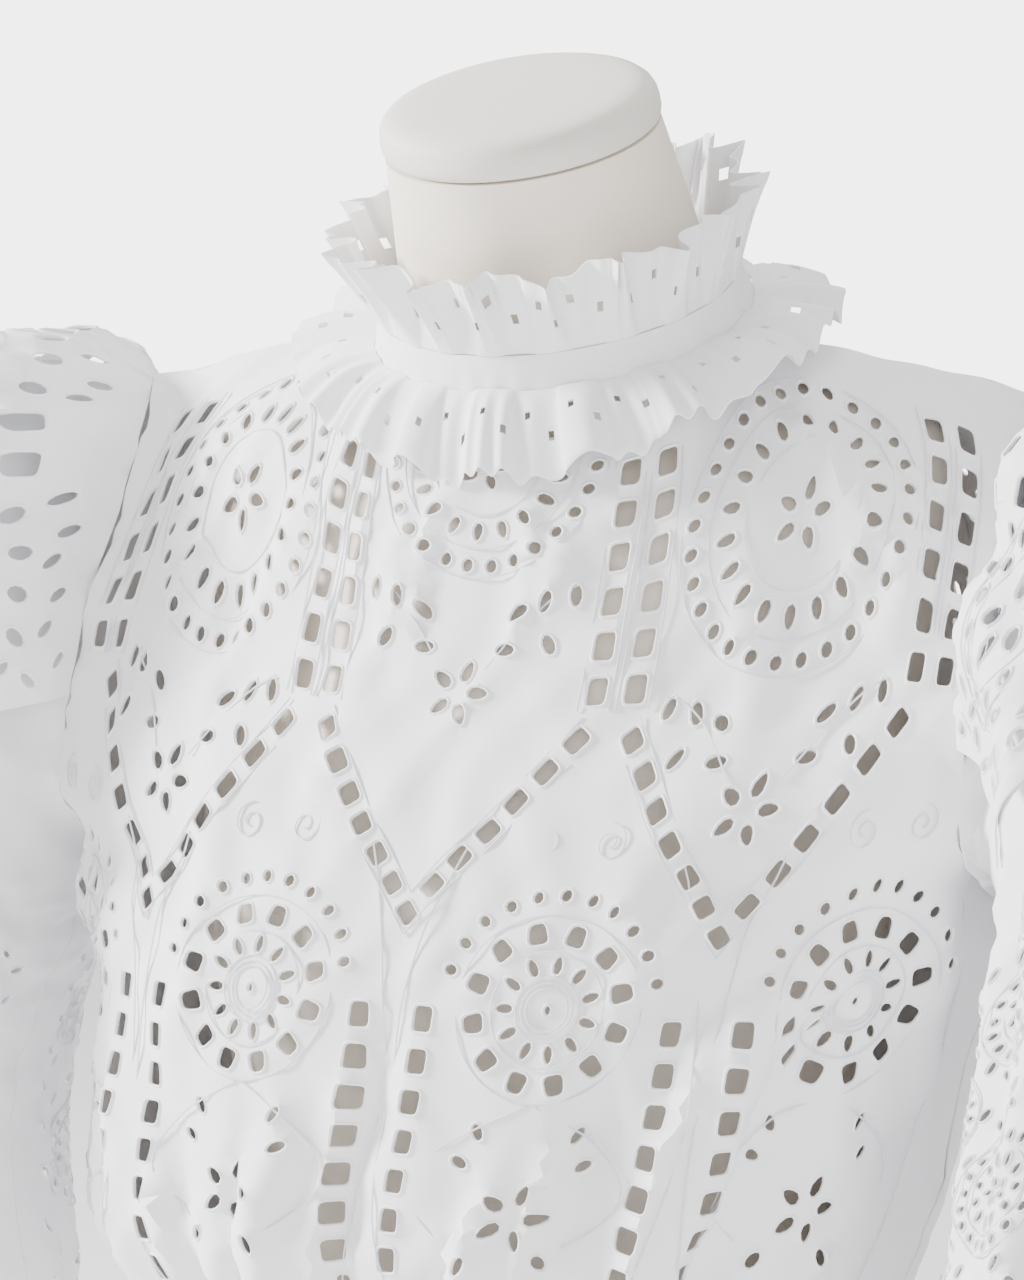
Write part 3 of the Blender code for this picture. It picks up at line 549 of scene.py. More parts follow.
def ladders(top, lower_top, lower_count):
    """Double ladders, the V lines under them and the single ladders below."""
    holes, lines = [], []
    for centre in (-1.5, -0.5, 0.5, 1.5):
        middle = centre * REPEAT
        for offset in (-.0075, .0075):
            for k in range(6):
                holes.append(square(middle + offset, top + k * PITCH))
            for edge in (-.0062, .0062):
                lines.append([(middle + offset + edge, top - .008 + .0078 * k)
                              for k in range(13)])
    for centre in (-1, 0, 1):
        middle = centre * REPEAT
        bottom = (middle, top + (0.166 if centre == 0 else 0.168))
        for side in (-1, 1):
            start = (middle + side * 0.0530, top + 6 * PITCH + 0.002)
            angle = math.atan2(start[1] - bottom[1], start[0] - bottom[0]) - math.pi / 2
            for k in range(1 if side > 0 else 0, 7):
                f = k / 6
                holes.append(square(bottom[0] + (start[0] - bottom[0]) * f,
                                    bottom[1] + (start[1] - bottom[1]) * f,
                                    .0072, .0090, angle))
            for off in (-.0085, .0085):
                lines.append([(bottom[0] + (start[0] - bottom[0]) * f,
                               bottom[1] + off + (start[1] - bottom[1]) * f)
                              for f in (k / 20 for k in range(21))])
    if lower_count:
        for s in (-.142, -.114, -.014, .014, .114, .142):
            for k in range(lower_count):
                lean = 0.0006 * max(0, k - 5) ** 2
                holes.append(square(s - math.copysign(lean, s),
                                    lower_top + k * PITCH * 1.04))
    return holes, lines


def clear_of(holes, others, gap):
    """The holes whose middles stay clear of the others, and of each other."""
    kept = list(others)
    middles = [np.mean(h, axis=0) for h in kept]
    reach = [max(math.dist(m, p) for p in h) for m, h in zip(middles, kept)]
    for hole in holes:
        m = np.mean(hole, axis=0)
        r = max(math.dist(m, p) for p in hole)
        near = np.hypot(*(np.array(middles) - m).T) if middles else np.array([9.0])
        if np.all(near > np.array(reach or [0]) * 0.92 + r * 0.92 + gap):
            kept.append(hole)
            middles.append(m)
            reach.append(r)
    return kept


def rimmed_triangles(outline, holes, step, rim):
    """Triangulate a flat outline; each hole has a raised rim of two loops.

    Gives flat points, triangles and each point's rim height from 0 to 1."""
    points, line = list(outline), np.array(outline)
    edges = [(k, (k + 1) % len(points)) for k in range(len(points))]
    owner, tall = [-1] * len(points), [0.0] * len(points)
    middles, reach = [], []
    for index, hole in enumerate(holes):
        m = np.mean(hole, axis=0)
        r = max(math.dist(m, p) for p in hole)
        middles.append(m)
        reach.append(r)
        for width, height in ((0.0, 0.35), (rim * 0.5, 1.0), (rim, 0.0)):
            first = len(points)
            for p in hole:
                away = np.array(p) - m
                grow = 1 + width / max(1e-9, np.hypot(*away))
                points.append(tuple(m + away * grow))
            owner += [index if width == 0 else -2] * len(hole)
            tall += [height] * len(hole)
            edges += [(first + k, first + (k + 1) % len(hole)) for k in range(len(hole))]
    middles, reach = np.array(middles or [(9, 9)]), np.array(reach or [0.0])
    low, high = line.min(axis=0), line.max(axis=0)
    following = np.roll(line, -1, axis=0)
    cols = max(2, int(round((high[0] - low[0]) / step)))
    rows = max(2, int(round((high[1] - low[1]) / (step * 0.87))))
    for r in range(1, rows):
        y = low[1] + (high[1] - low[1]) * r / rows
        crosses = (line[:, 1] > y) != (following[:, 1] > y)
        a, b = line[crosses], following[crosses]
        cuts = a[:, 0] + (y - a[:, 1]) * (b[:, 0] - a[:, 0]) / (b[:, 1] - a[:, 1])
        if len(cuts) < 2:
            continue
        for c in range(cols):
            p = np.array((low[0] + (high[0] - low[0]) * (c + 0.5 * (r % 2)) / cols, y))
            if not cuts.min() + step * 0.5 < p[0] < cuts.max() - step * 0.5:
                continue
            if np.any(np.hypot(*(middles - p).T) < reach + rim + step * 0.25):
                continue
            points.append(tuple(p))
            owner.append(-2)
            tall.append(0.0)
    result = geometry.delaunay_2d_cdt([Vector(p) for p in points], edges, [], 1, 1e-7, True)
    flat = np.array([tuple(v) for v in result[0]])
    source = [owner[ids[0]] if ids else -2 for ids in result[3]]
    height = np.array([tall[ids[0]] if ids else 0.0 for ids in result[3]])
    faces = [tuple(tri) for tri in result[2]
             if len({source[k] for k in tri}) > 1 or source[tri[0]] < 0]
    return flat, faces, height


def crinkle(s, t, size):
    """Small uneven waves and soft sharp-topped creases of worn cotton."""
    crease = (1 - np.abs(np.sin(s * 33 + 1.8 * np.sin(t * 12 + s * 9)))) ** 4
    crease = crease * (0.5 + 0.5 * np.sin(t * 27 + 2 * np.sin(s * 21)))
    slant = (1 - np.abs(np.sin(t * 26 + s * 17 + 1.5 * np.sin(s * 19)))) ** 5
    slant = slant * (0.5 + 0.5 * np.sin(s * 31 + t * 11))
    return size * (2.6 * crease + 1.8 * slant
                   + np.sin(s * 95 + 2.1 * np.sin(t * 31)) * np.sin(t * 43 + 1.3)
                   + 0.6 * np.sin(s * 210 + t * 60 + 3 * np.sin(t * 57))
                   + 0.5 * np.sin(t * 150 - s * 80 + 2 * np.sin(s * 77)))


def eyelet_cloth(name, surface, facing, outline, holes, step, rim_height, gather):
    """Fine cut cloth on a panel's surface with satin rims round the holes."""
    flat, faces, tall = rimmed_triangles(outline, holes, step, RIM_WIDTH)
    s, t = flat[:, 0], flat[:, 1]
    n = normals(surface, s, t, facing)
    relief = crinkle(s, t, CRINKLE) + gather(s, t)
    outer = surface(s, t) + n * (tall * rim_height + relief)[:, None]
    inner = surface(s, t) - n * (0.0007 - relief)[:, None]
    if facing < 0:
        faces = [tuple(reversed(f)) for f in faces]
    return closed_cloth(name, outer, inner, faces)


def stitch_lines(name, surface, facing, lines, half_width, length):
    """Cord stitch: thin five-sided threads laid on the cloth along flat lines."""
    verts, faces = [], []
    for line in lines:
        pts = np.array(line)
        inside = (np.abs(pts[:, 0]) < half_width(pts[:, 1]) - 0.004) & (
            pts[:, 1] > 0.004) & (pts[:, 1] < length - 0.004)
        runs, run = [], []
        for k, good in enumerate(inside):
            if good:
                run.append(k)
            elif run:
                runs.append(run)
                run = []
        runs.append(run)
        for run in runs:
            if len(run) < 3:
                continue
            p = pts[run]
            n = normals(surface, p[:, 0], p[:, 1], facing)
            mid = surface(p[:, 0], p[:, 1]) + n * (CORD_RADIUS * 0.55 + 0.0003)
            along = np.gradient(mid, axis=0)
            along /= np.maximum(np.linalg.norm(along, axis=1), 1e-9)[:, None]
            across = np.cross(along, n)
            first = len(verts)
            for i in range(len(mid)):
                for k in range(5):
                    a = math.tau * k / 5
                    verts.append(mid[i] + CORD_RADIUS * (across[i] * math.cos(a)
                                                         + n[i] * math.sin(a)))
            for i in range(len(mid) - 1):
                for k in range(5):
                    a, b = first + i * 5 + k, first + i * 5 + (k + 1) % 5
                    faces.append((a, a + 5, b + 5, b))
            faces.append(tuple(first + k for k in range(5)))
            last = first + (len(mid) - 1) * 5
            faces.append(tuple(last + k for k in reversed(range(5))))
    return add_mesh(name, verts, faces, "satin_stitch", 60)


def grid_cloth(name, point, cols, rows, wall, closed, gap=lambda c, r: False):
    """Wall between point(u, v, 0) and point(u, v, wall), u and v from 0 to 1."""
    count = cols if closed else cols + 1
    u = np.repeat(np.arange(count) / cols, rows + 1)
    v = np.tile(np.arange(rows + 1) / rows, count)
    outer, inner = point(u, v, 0.0), point(u, v, wall)
    faces = []
    for c in range(cols):
        a, b = c * (rows + 1), ((c + 1) % count) * (rows + 1)
        faces += [(a + r, b + r, b + r + 1, a + r + 1) for r in range(rows)
                  if not gap(c, r)]
    probe = np.cross(outer[rows + 1] - outer[0], outer[1] - outer[0])
    if np.dot(probe, outer[0] - inner[0]) < 0:
        faces = [tuple(reversed(f)) for f in faces]
    return closed_cloth(name, outer, inner, faces)


def boxed(wave):
    """Flatten a wave's tops so that its sides stand as crisp folds."""
    return np.sign(wave) * np.abs(wave) ** 0.6


def eyelet_gap(c, r):
    """Small staggered eyelets of a ruffle, as cells left out of its grid."""
    return (c % 24 < 3 and r in (6, 7)) or ((c + 12) % 24 < 3 and r in (10, 11))


def smooth_loft(name, rings, key):
    """Closed skin through equal rings, from the first to the last."""
    n = len(rings[0])
    verts = [p for one in rings for p in one]
    faces = [tuple(range(n))[::-1]]
    for r in range(len(rings) - 1):
        for k in range(n):
            a, b = r * n + k, r * n + (k + 1) % n
            faces.append((a, b, b + n, a + n))
    faces.append(tuple((len(rings) - 1) * n + k for k in range(n)))
    return add_mesh(name, verts, faces, key, 50)


def form_ring(mid_y, height, tilt, half_width, forward, back, sides=96):
    """One ring of the dress form, tilted forward."""
    points = []
    r = math.radians(tilt)
    for k in range(sides):
        a = math.tau * k / sides
        f = math.cos(a) * (forward if math.cos(a) > 0 else back)
        points.append((half_width * math.sin(a), mid_y - f * math.cos(r),
                       height - f * math.sin(r)))
    return points


class BlouseSettings(bpy.types.PropertyGroup):
    """Sizes that the looks may be changed with."""
    cloth_step: FloatProperty(name="Cloth step", description="Spacing of the cloth's points",
                              default=0.0058, min=0.003, max=0.03, unit="LENGTH")
    rim_height: FloatProperty(name="Rim height", description="Rise of the stitched rims",
                              default=0.00075, min=0.0, max=0.002, unit="LENGTH")
    ruffle_columns: IntProperty(name="Ruffle columns", description="Points round a ruffle",
                                default=720, min=60, max=2000)
    camera_turn: FloatProperty(name="Camera turn", description="Turn to the wearer's left",
                               default=math.radians(27), subtype="ANGLE")
    camera_rise: FloatProperty(name="Camera rise", description="Height of the view",
                               default=math.radians(5), subtype="ANGLE")


class BLOUSE_OT_form(bpy.types.Operator):
    """Dress form torso and neck cap"""
    bl_idname = "blouse.form"
    bl_label = "Dress form"

    def execute(self, context):
        table = np.array(FORM_ROWS, float)
        keys = np.arange(len(table))
        rows = spline(keys, table, np.linspace(0, len(table) - 1, 86))
        torso = smooth_loft("form_torso_cover", [form_ring(*row) for row in rows],
                            "form_knit")
        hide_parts("form_torso")
        top_y, top_z, tilt, *reach = FORM_ROWS[-1]
        profile = [(0.0004, -.0030), (0.0008, -.0010), (0.0018, .0003), (0.0040, .0009),
                   (0.0075, .0009), (0.0105, .0004), (0.0130, -.0008), (0.0150, -.0030),
                   (0.0163, -.0062), (0.0170, -.0110), (0.0173, -.0200), (0.0174, -.0350)]
        rings = []
        for rise, grow in profile:
            y = top_y - rise * math.sin(math.radians(tilt))
            z = top_z + rise * math.cos(math.radians(tilt))
            rings.append(form_ring(y, z, tilt, *(size + grow for size in reach)))
        cap = smooth_loft("form_cap_cover", rings, "form_cap")
        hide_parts("form_neck_cap")
        return {"FINISHED"}


def bodice_pattern(ladder, uppers, lowers):
    """Holes and stitch lines of a bodice: ladders first, then motifs clear of them."""
    main, lines = ladders(*ladder)
    motifs = []
    for cell, places in ((upper_cell, uppers), (lower_cell, lowers)):
        for across, down in places:
            holes, extra = cell(across * REPEAT, down)
            motifs += holes
            lines += extra
    return clear_of(motifs, main, HOLE_GAP), lines


def bodice(context, label, rows, folds, facing, holes, lines):
    """One bodice panel, with its stitching."""
    surface = panel_surface(rows, folds, facing)
    step = context.scene.blouse.cloth_step
    outline = panel_outline(surface.half_width, BODICE_LENGTH - SEAM_GAP, 0.0002,
                            70, 90, 0.0003)
    holes = [h for h in holes
             if all(abs(s) < surface.half_width([t])[0] - 0.004 and 0.004 < t < 0.380
                    for s, t in h)]

    def gather(s, t):
        edge = surface.half_width(t) - np.abs(s)
        seam = np.sin(t * 430 + 2.4 * np.sin(t * 85)) * np.exp(-edge / 0.013)
        neck = np.sin(s * 340 + 2.6 * np.sin(s * 75)) * np.exp(-t / 0.028)
        return 0.0009 * seam * (t < 0.2) + 0.0009 * neck * (np.abs(s) < 0.12)

    cloth = eyelet_cloth(label + "_cloth", surface, facing, outline, holes, step,
                         context.scene.blouse.rim_height, gather)
    threads = stitch_lines(label + "_stitching", surface, facing, lines,
                           surface.half_width, BODICE_LENGTH)
    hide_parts(label)
    return cloth


class BLOUSE_OT_front(bpy.types.Operator):
    """Front bodice with its eyelet pattern"""
    bl_idname = "blouse.front"
    bl_label = "Front bodice"

    def execute(self, context):
        lowers = [(across, 0.228) for across in (-1.5, -.5, .5, 1.5)]
        holes, lines = bodice_pattern((0.0300, 0.236, 9),
                                      [(-1, 0.062), (0, 0.020), (1, 0.062)], lowers)
        bodice(context, "front_bodice", FRONT_ROWS, FRONT_FOLDS + FRONT_CREASES, -1,
               holes, lines)
        return {"FINISHED"}


class BLOUSE_OT_back(bpy.types.Operator):
    """Back bodice with the same cloth"""
    bl_idname = "blouse.back"
    bl_label = "Back bodice"

    def execute(self, context):
        holes, lines = bodice_pattern((0.0480, 0.250, 0), [(-1, 0.080), (1, 0.080)],
                                      [(-.5, 0.262), (.5, 0.262)])
        bodice(context, "back_bodice", BACK_ROWS, BACK_FOLDS, 1, holes, lines)
        return {"FINISHED"}


class BLOUSE_OT_collar(bpy.types.Operator):
    """Collar band and its two ruffles"""
    bl_idname = "blouse.collar"
    bl_label = "Collar"

    def execute(self, context):
        cols = context.scene.blouse.ruffle_columns

        def band(u, v, depth):
            turn = u * math.tau
            puff = 0.0006 * np.sin(turn * 38 + 1.5 * np.sin(turn * 7)) * (1 - v) ** 2
            return neck_ring(turn, -0.0009 - 0.005 * v + puff - depth, BAND_HEIGHT * v)

        piece = grid_cloth("collar_band_cloth", band, 300, 6, CLOTH, True)
        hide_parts("collar_band")

        def standing(u, v, depth):
            turn = u * math.tau
            wave = boxed(uneven(turn, 19, 0.6))
            ripple = 0.0022 * np.sin(turn * 53 + 3 * np.sin(turn * 9)) * v
            lean = 0.010 * v ** 1.2 + 0.0065 * wave * (0.12 + 0.88 * v) + ripple
            height = STAND_HEIGHT * (1 + 0.10 * uneven(turn, 11, 2.1))
            hem = 0.0005 * np.exp(-((v - 0.90) / 0.03) ** 2)
            return neck_ring(turn + 0.05 * v * np.cos(turn * 19),
                             -0.006 + lean - depth + hem,
                             BAND_HEIGHT + SEAM_GAP + height * v)

        piece = grid_cloth("standing_ruffle_cloth", standing, cols, 16,
                           RUFFLE_CLOTH, True, eyelet_gap)
        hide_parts("standing_ruffle")

        def falling(u, v, depth):
            turn = u * math.tau
            wave = boxed(uneven(turn, 17, 1.4))
            side = np.sin(turn) ** 2
            ripple = 0.0020 * np.sin(turn * 47 + 3 * np.sin(turn * 8)) * v
            out = -0.0021 + 0.0015 * wave * v + FALL_WIDTH * (0.46 + 0.42 * side) * v
            rise = 0.006 - 0.0280 * v * (1 - 0.52 * side) + 0.0042 * wave * (0.2 + 0.8 * v)
            rise = rise + 0.004 * np.sin(v * math.pi) + 0.010 * v * side + ripple
            rise = rise + 0.0004 * np.exp(-((v - 0.92) / 0.025) ** 2)
            return neck_ring(turn, out, rise + depth * 0.9)

        piece = grid_cloth("falling_ruffle_cloth", falling, cols, 18,
                           RUFFLE_CLOTH, True, eyelet_gap)
        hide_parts("falling_ruffle")
        return {"FINISHED"}


def sleeve_pattern(half_width, front):
    """Holes and stitch lines of a half sleeve: a ladder, motifs, leaf columns."""
    holes, lines = [], []
    main = [square(-.030, .190 + k * PITCH * 1.1) for k in range(22)]
    for s, t in ((-.080, .195), (.030, .215), (-.080, .305), (.030, .325), (.095, .265),
                 (-.080, .415), (.030, .435), (.095, .375), (-.080, .525), (.030, .545),
                 (.095, .485)):
        holes += ring_of(s, t, 0.028, 18, 0.0044, 0.0052)
        holes += ring_of(s, t, 0.0165, 11, 0.0038, 0.0070, taper=-0.2)
        holes += flower(s, t, 0.62)
        holes += flower(s, t + 0.060, 0.95)
        lines += [circle_line(s, t, 0.0335), circle_line(s, t, 0.0225)]
    for row, s in enumerate(np.linspace(-.128, .128, 13 if front else 6)):
        for k in range(26):
            way = 1 if k % 2 else -1
            holes.append(soft_hole(s + .0052 * way, .172 + .0155 * k + .005 * (row % 2),
                                   .0044, .0082, .6 * way))
    holes = clear_of(holes, main, HOLE_GAP)
    holes = [h for h in holes if all(abs(a) < half_width([b])[0] - 0.005
                                     and 0.165 < b < 0.585 for a, b in h)]
    return holes, lines


def sleeve_cloth(context, side, front):
    """One half of a sleeve, with its stitching."""
    place = sleeve_point(side)
    down = [row[0] for row in SLEEVE_ROWS]
    half = [row[7] for row in SLEEVE_ROWS]
    sign = 1 if front else -1
    label = "sleeve_%s_%s" % ("front" if front else "back", "left" if side > 0 else "right")

    def half_width(t):
        return spline(down, half, t)

    def surface(s, t):
        turn = 90 + 90 * s / half_width(t)
        under = np.clip(t / 0.012, 0, 1) * np.clip((0.16 - t) / 0.03, 0, 1)
        return place(sign * turn, t, -0.004 * under)

    holes, lines = sleeve_pattern(half_width, front)
    outline = panel_outline(half_width, SLEEVE_LENGTH, 0.0004, 80, 40, 0.0003)
    facing = 1 if (side > 0) == front else -1

    def gather(s, t):
        ends = np.exp(-(SLEEVE_LENGTH - t) / 0.035) + np.exp(-t / 0.03)
        return 0.0011 * np.sin(s * 380 + 2.2 * np.sin(s * 70)) * ends

    cloth = eyelet_cloth(label + "_cloth", surface, facing, outline, holes,
                         context.scene.blouse.cloth_step * 1.3,
                         context.scene.blouse.rim_height, gather)
    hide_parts(label)
    threads = stitch_lines(label + "_stitching", surface, facing, lines, half_width,
                           SLEEVE_LENGTH)


def tier_half(t):
    """Half width of a cap tier, the same all the way down."""
    return TIER_HALF + 0 * np.asarray(t)


def tier_pattern():
    """Holes and stitch lines of a cap tier."""
    holes, lines = [], []
    for k in range(8):
        for s in (-.0700, .0000, .0700):
            holes.append(square(s - .0075, .012 + k * PITCH))
            holes.append(square(s + .0075, .012 + k * PITCH))
    for s in (-.105, -.035, .035, .105):
        holes += ring_of(s, .066, 0.0240, 16, 0.0044, 0.0052)
        holes += flower(s, .066, 1.1)
        holes += flower(s, .110, 0.85)
        lines += [circle_line(s, .066, 0.0285), circle_line(s, .066, 0.0190)]
        for k in range(-2, 3):
            holes.append(soft_hole(s + .012 * k, .026 + .0012 * abs(k), .0048,
                                   .0085, 0.25 * k))
            holes.append(soft_hole(s + .013 * k, .119, .0050, .0070))
    for j in range(-14, 15):
        for k in range(10):
            way = 1 if k % 2 else -1
            holes.append(soft_hole(.0100 * j + .0022 * way,
                                   .012 + .0118 * k + .004 * (j % 2), .0032,
                                   .0074, .6 * way))
    holes = [h for h in clear_of(holes, [], HOLE_GAP)
             if all(abs(a) < 0.145 and 0.008 < b < 0.128 for a, b in h)]
    return holes, lines


class BLOUSE_OT_sleeves(bpy.types.Operator):
    """Long full sleeves, a front and a back half each, with cuffs"""
    bl_idname = "blouse.sleeves"
    bl_label = "Sleeves"

    def execute(self, context):
        for side in (1, -1):
            for front in (True, False):
                sleeve_cloth(context, side, front)
            top = SLEEVE_ROWS[-1]

            def cuff(u, v, depth, side=side, top=top):
                turn = u * math.tau
                x = side * ((top[1] + top[3]) / 2 + 0.020 * (side < 0))
                edge = 0.0004 * (np.exp(-((v - .06) / .03) ** 2)
                                 + np.exp(-((v - .94) / .03) ** 2))
                rx = (top[1] - top[3]) / 2 - 0.001 * v - depth - edge
                ry = top[6] - 0.003 * v - depth - edge
                return np.stack([x + rx * np.cos(turn), top[5] - ry * np.sin(turn),
                                 top[2] - SEAM_GAP * 1.5 - CUFF_HEIGHT * v], axis=1)

            name = "cuff_left" if side > 0 else "cuff_right"
            piece = grid_cloth(name + "_cloth", cuff, 96, 24, 0.0016, True)
            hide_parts(name)
        return {"FINISHED"}


class BLOUSE_OT_tiers(bpy.types.Operator):
    """Gathered cap tiers with their stitched hem bands"""
    bl_idname = "blouse.tiers"
    bl_label = "Cap tiers"

    def execute(self, context):
        for side, word in ((1, "left"), (-1, "right")):
            place = sleeve_point(side)

            def surface(s, t, side=side, place=place):
                u = np.clip(s / 0.30 + 0.5, 0, 1)
                turn, down, lift = tier_place(u, t / TIER_DROP, side)
                near = np.clip(1 - t / 0.022, 0, 1)
                down = down - 0.0094 * near
                lift = lift - 0.0040 * near ** 1.5
                gather = 0.0010 * np.sin(s * 260 + 2 * np.sin(s * 60)) * np.exp(-t / 0.05)
                return place(turn, down, lift + gather)

            holes, lines = tier_pattern()
            outline = panel_outline(tier_half, TIER_DROP, 0.0, 26, 60, 0.0)
            facing = 1 if side > 0 else -1
            probe = surface(np.zeros(1), np.array([0.06]))[0]
            n = normals(surface, np.zeros(1), np.array([0.06]), facing)[0]
            if n[0] * side + n[2] < 0:
                facing = -facing
            label = "cap_tier_" + word
            cloth = eyelet_cloth(label + "_cloth", surface, facing, outline, holes,
                                 context.scene.blouse.cloth_step,
                                 context.scene.blouse.rim_height,
                                 lambda s, t: 0.0 * s)
            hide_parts(label)
            threads = stitch_lines(label + "_stitching", surface, facing, lines,
                                   tier_half, TIER_DROP)

            def hem(u, v, depth, side=side, place=place):
                turn, t, lift = tier_place(u, 0.93 + 0.075 * v, side)
                edge = 0.0003 * np.sin(v * math.pi) ** 0.5
                return place(turn, t, lift + 0.0018 + edge - depth)

            band = grid_cloth("tier_hem_%s_cloth" % word, hem, 160, 5, HEM_CLOTH,
                              False)
            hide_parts("tier_hem_" + word)
        return {"FINISHED"}


class BLOUSE_OT_peplum(bpy.types.Operator):
    """Gathered peplum, front and back"""
    bl_idname = "blouse.peplum"
    bl_label = "Peplum"

    def execute(self, context):
        for name, facing in (("peplum_front", 1), ("peplum_back", -1)):
            rows = FRONT_ROWS if facing > 0 else BACK_ROWS
            folds = FRONT_FOLDS + FRONT_CREASES if facing > 0 else BACK_FOLDS
            edge = panel_surface(rows, folds, -facing)
            waist = (.145, .112 if facing > 0 else .096)
            hem = (.180, .148 if facing > 0 else .134)

            def point(u, v, depth, waist=waist, hem=hem, facing=facing, edge=edge):
                turn = (u - 0.5) * (math.pi - 0.008)
                grow = v ** 0.9
                wave = uneven(turn, 22, 0.9 + facing) * (0.0020 + 0.0065 * v)
                wave = wave + 0.0008 * np.sin(turn * 61 + 2 * np.sin(turn * 9))
                wave = wave * np.clip(v / 0.06, 0, 1)
                keep = np.clip(np.minimum(u, 1 - u) / 0.03, 0, 1)
                hemline = 0.0005 * np.exp(-((v - 0.93) / 0.01) ** 2)
                a = waist[0] + (hem[0] - waist[0]) * grow + wave * keep - depth - hemline
                b = waist[1] + (hem[1] - waist[1]) * grow + wave * keep - depth - hemline
                shift = -0.012 + 0.008 * v
                y = 0.0165 * (1 - v) + 0.012 * v - facing * (b + 0.0157) * np.cos(turn)
                drop = np.stack([shift + a * np.sin(turn), y - facing * 0.0004,
                                 WAIST_Z - SEAM_GAP * 1.5 - PEPLUM_LENGTH * v], axis=1)
                t = 0 * u + BODICE_LENGTH
                seam = edge((2 * u - 1) * 0.998 * edge.half_width(t), t)
                seam[:, 0] -= depth * np.sin(turn)
                seam[:, 1] += facing * (depth * np.cos(turn) - 0.0004)
                pull = np.clip(1 - v / 0.5, 0, 1)
                pull = (pull * pull * (3 - 2 * pull))[:, None]
                seam[:, 2] -= 0.0003 + PEPLUM_LENGTH * v
                return drop * (1 - pull) + seam * pull

            piece = grid_cloth(name + "_cloth", point, 320, 34, HEM_CLOTH, False)
            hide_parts(name)
        return {"FINISHED"}


class BLOUSE_OT_closure(bpy.types.Operator):
    """Back placket and its buttons"""
    bl_idname = "blouse.closure"
    bl_label = "Back closure"

    def execute(self, context):
        surface = panel_surface(BACK_ROWS, BACK_FOLDS, 1)

        def strip(u, v, depth):
            s = (u - 0.5) * 0.024
            t = 0.003 + 0.180 * v
            edge = 0.0003 * (np.abs(u - 0.5) < 0.42)
            return surface(s, t) + normals(surface, s, t, 1) * (
                0.0017 + edge - depth)[:, None]

        piece = grid_cloth("back_placket_cloth", strip, 24, 90, 0.0010, False)
        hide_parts("back_placket")
        for k in range(4):
            s, t = np.zeros(1), np.array([0.022 + 0.045 * k])
            middle = Vector(surface(s, t)[0])
            n = Vector(normals(surface, s, t, 1)[0])
            bpy.ops.object.select_all(action="DESELECT")
            bpy.ops.mesh.primitive_cylinder_add(vertices=40, radius=0.0054, depth=0.0022)
            button = context.active_object
            button.name = "button_%d_shell" % (k + 1)
            bevel = button.modifiers.new("rim", "BEVEL")
            bevel.width = 0.0006
            bevel.segments = 3
            bpy.ops.object.modifier_apply(modifier="rim")
            button.rotation_mode = "QUATERNION"
            button.rotation_quaternion = n.to_track_quat("Z", "Y")
            button.location = middle + n * 0.0034
            bpy.ops.object.transform_apply(location=True, rotation=True, scale=True)
            button.data.materials.append(shared("button_shell"))
            bpy.ops.object.shade_smooth_by_angle(angle=math.radians(35))
            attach(button, "root")
            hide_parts("button_%d" % (k + 1))
        return {"FINISHED"}


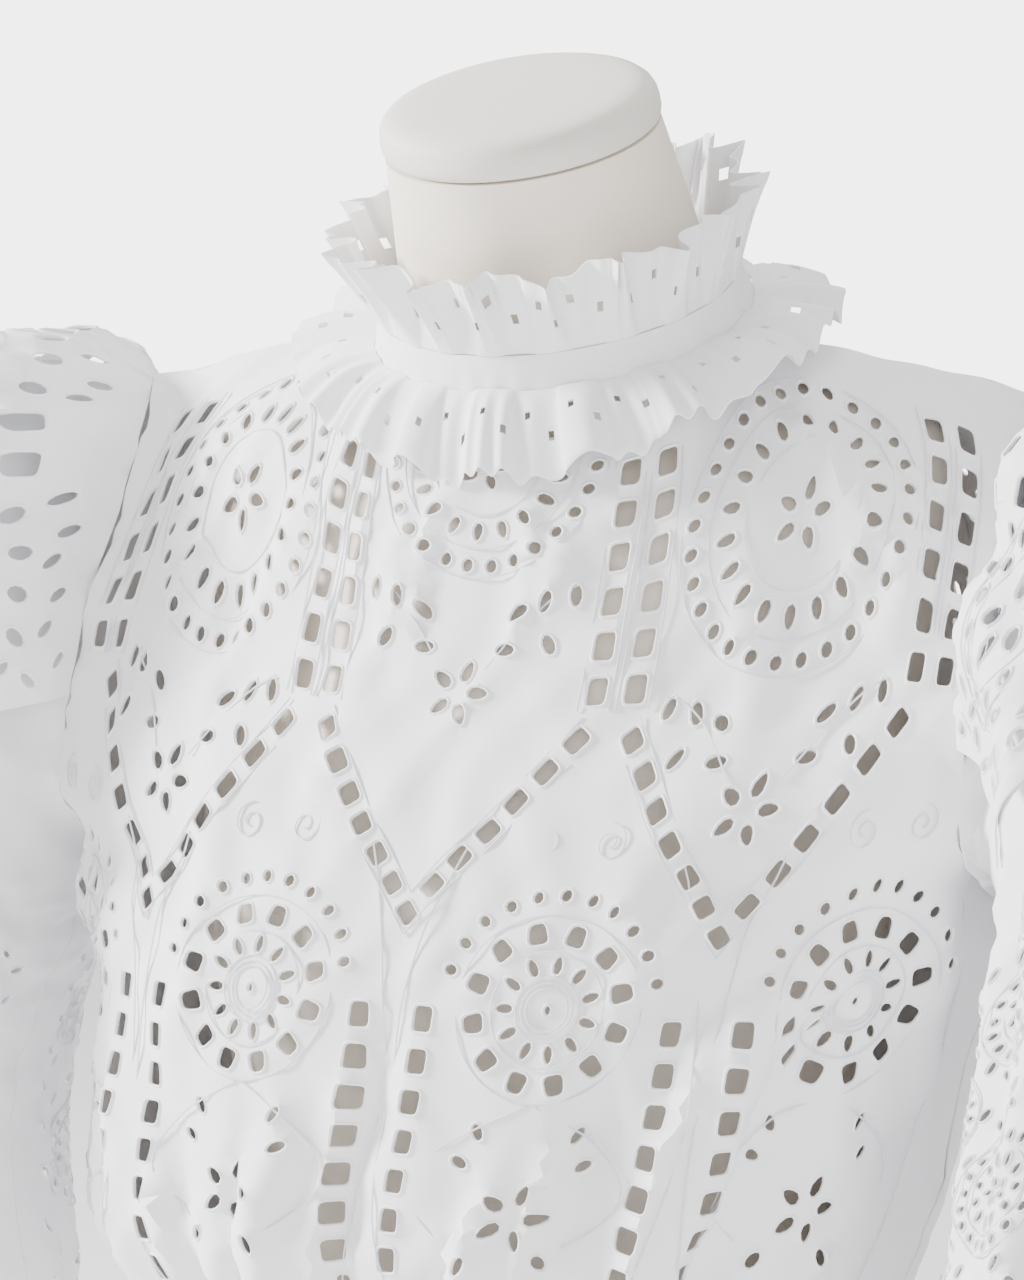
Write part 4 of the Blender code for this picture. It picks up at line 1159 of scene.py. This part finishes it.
class BLOUSE_OT_stage(bpy.types.Operator):
    """Pale floor, soft lights and the camera"""
    bl_idname = "blouse.stage"
    bl_label = "Stage"

    def execute(self, context):
        settings = context.scene.blouse
        bpy.ops.object.select_all(action="DESELECT")
        bpy.ops.mesh.primitive_plane_add(size=14, location=(0, 0, -0.001))
        floor = context.active_object
        floor.name = "studio_floor"
        pale = bpy.data.materials.new("studio_white")
        pale.use_nodes = True
        set_inputs(pale.node_tree.nodes["Principled BSDF"],
                   {"Base Color": (0.95, 0.95, 0.95, 1), "Roughness": 0.9})
        floor.data.materials.append(pale)
        world = bpy.data.worlds.new("studio_air")
        context.scene.world = world
        world.use_nodes = True
        nodes, links = world.node_tree.nodes, world.node_tree.links
        air = nodes["Background"]
        set_inputs(air, {"Color": (1.0, 1.0, 1.0, 1), "Strength": 1.15})
        seen = nodes.new("ShaderNodeBackground")
        set_inputs(seen, {"Color": (1.0, 1.0, 1.0, 1), "Strength": 5.0})
        path = nodes.new("ShaderNodeLightPath")
        both = nodes.new("ShaderNodeMixShader")
        links.new(path.outputs["Is Camera Ray"], both.inputs["Fac"])
        links.new(air.outputs["Background"], both.inputs[1])
        links.new(seen.outputs["Background"], both.inputs[2])
        links.new(both.outputs["Shader"], nodes["World Output"].inputs["Surface"])
        lamps = [("key", (-2.1, -0.75, 1.5), 0.55, 190), ("fill", (1.5, -2.2, 1.0), 1.5, 22),
                 ("top", (-0.3, 0.3, 2.4), 1.0, 18)]
        for name, place, size, power in lamps:
            lamp = bpy.data.lights.new(name, "AREA")
            lamp.size = size
            lamp.energy = power
            holder = bpy.data.objects.new(name, lamp)
            holder.location = place
            aim = Vector((0, 0, 0.55)) - Vector(place)
            holder.rotation_euler = aim.to_track_quat("-Z", "Y").to_euler()
            context.scene.collection.objects.link(holder)
        lens = bpy.data.cameras.new("view")
        lens.sensor_fit = "VERTICAL"
        lens.sensor_height = 24
        lens.lens = 105
        eye = bpy.data.objects.new("view", lens)
        target = Vector((-0.013, -0.0066, 0.5804))
        a, e = settings.camera_turn, settings.camera_rise
        way = Vector((math.sin(a) * math.cos(e), -math.cos(a) * math.cos(e), math.sin(e)))
        eye.location = target + way * 2.2
        eye.rotation_euler = (-way).to_track_quat("-Z", "Y").to_euler()
        context.scene.collection.objects.link(eye)
        context.scene.camera = eye
        return {"FINISHED"}


STEPS = (BLOUSE_OT_form, BLOUSE_OT_front, BLOUSE_OT_back, BLOUSE_OT_collar,
         BLOUSE_OT_sleeves, BLOUSE_OT_tiers, BLOUSE_OT_peplum, BLOUSE_OT_closure,
         BLOUSE_OT_stage)


class BLOUSE_PT_panel(bpy.types.Panel):
    """Sidebar panel with the sizes and a button for each group of pieces"""
    bl_label = "Eyelet Blouse"
    bl_idname = "BLOUSE_PT_panel"
    bl_space_type = "VIEW_3D"
    bl_region_type = "UI"
    bl_category = "Blouse"

    def draw(self, context):
        for name in ("cloth_step", "rim_height", "ruffle_columns", "camera_turn",
                     "camera_rise"):
            self.layout.prop(context.scene.blouse, name)
        for step in STEPS:
            self.layout.operator(step.bl_idname)


def register():
    for kind in (BlouseSettings, *STEPS, BLOUSE_PT_panel):
        bpy.utils.register_class(kind)
    bpy.types.Scene.blouse = PointerProperty(type=BlouseSettings)


def unregister():
    del bpy.types.Scene.blouse
    for kind in reversed((BlouseSettings, *STEPS, BLOUSE_PT_panel)):
        bpy.utils.unregister_class(kind)


def main():
    register()
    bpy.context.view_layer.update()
    for step in STEPS:
        family, name = step.bl_idname.split(".")
        if getattr(getattr(bpy.ops, family), name)() != {"FINISHED"}:
            raise RuntimeError(step.bl_label + " didn't finish")
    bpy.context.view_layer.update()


if __name__ == "__main__":
    main()
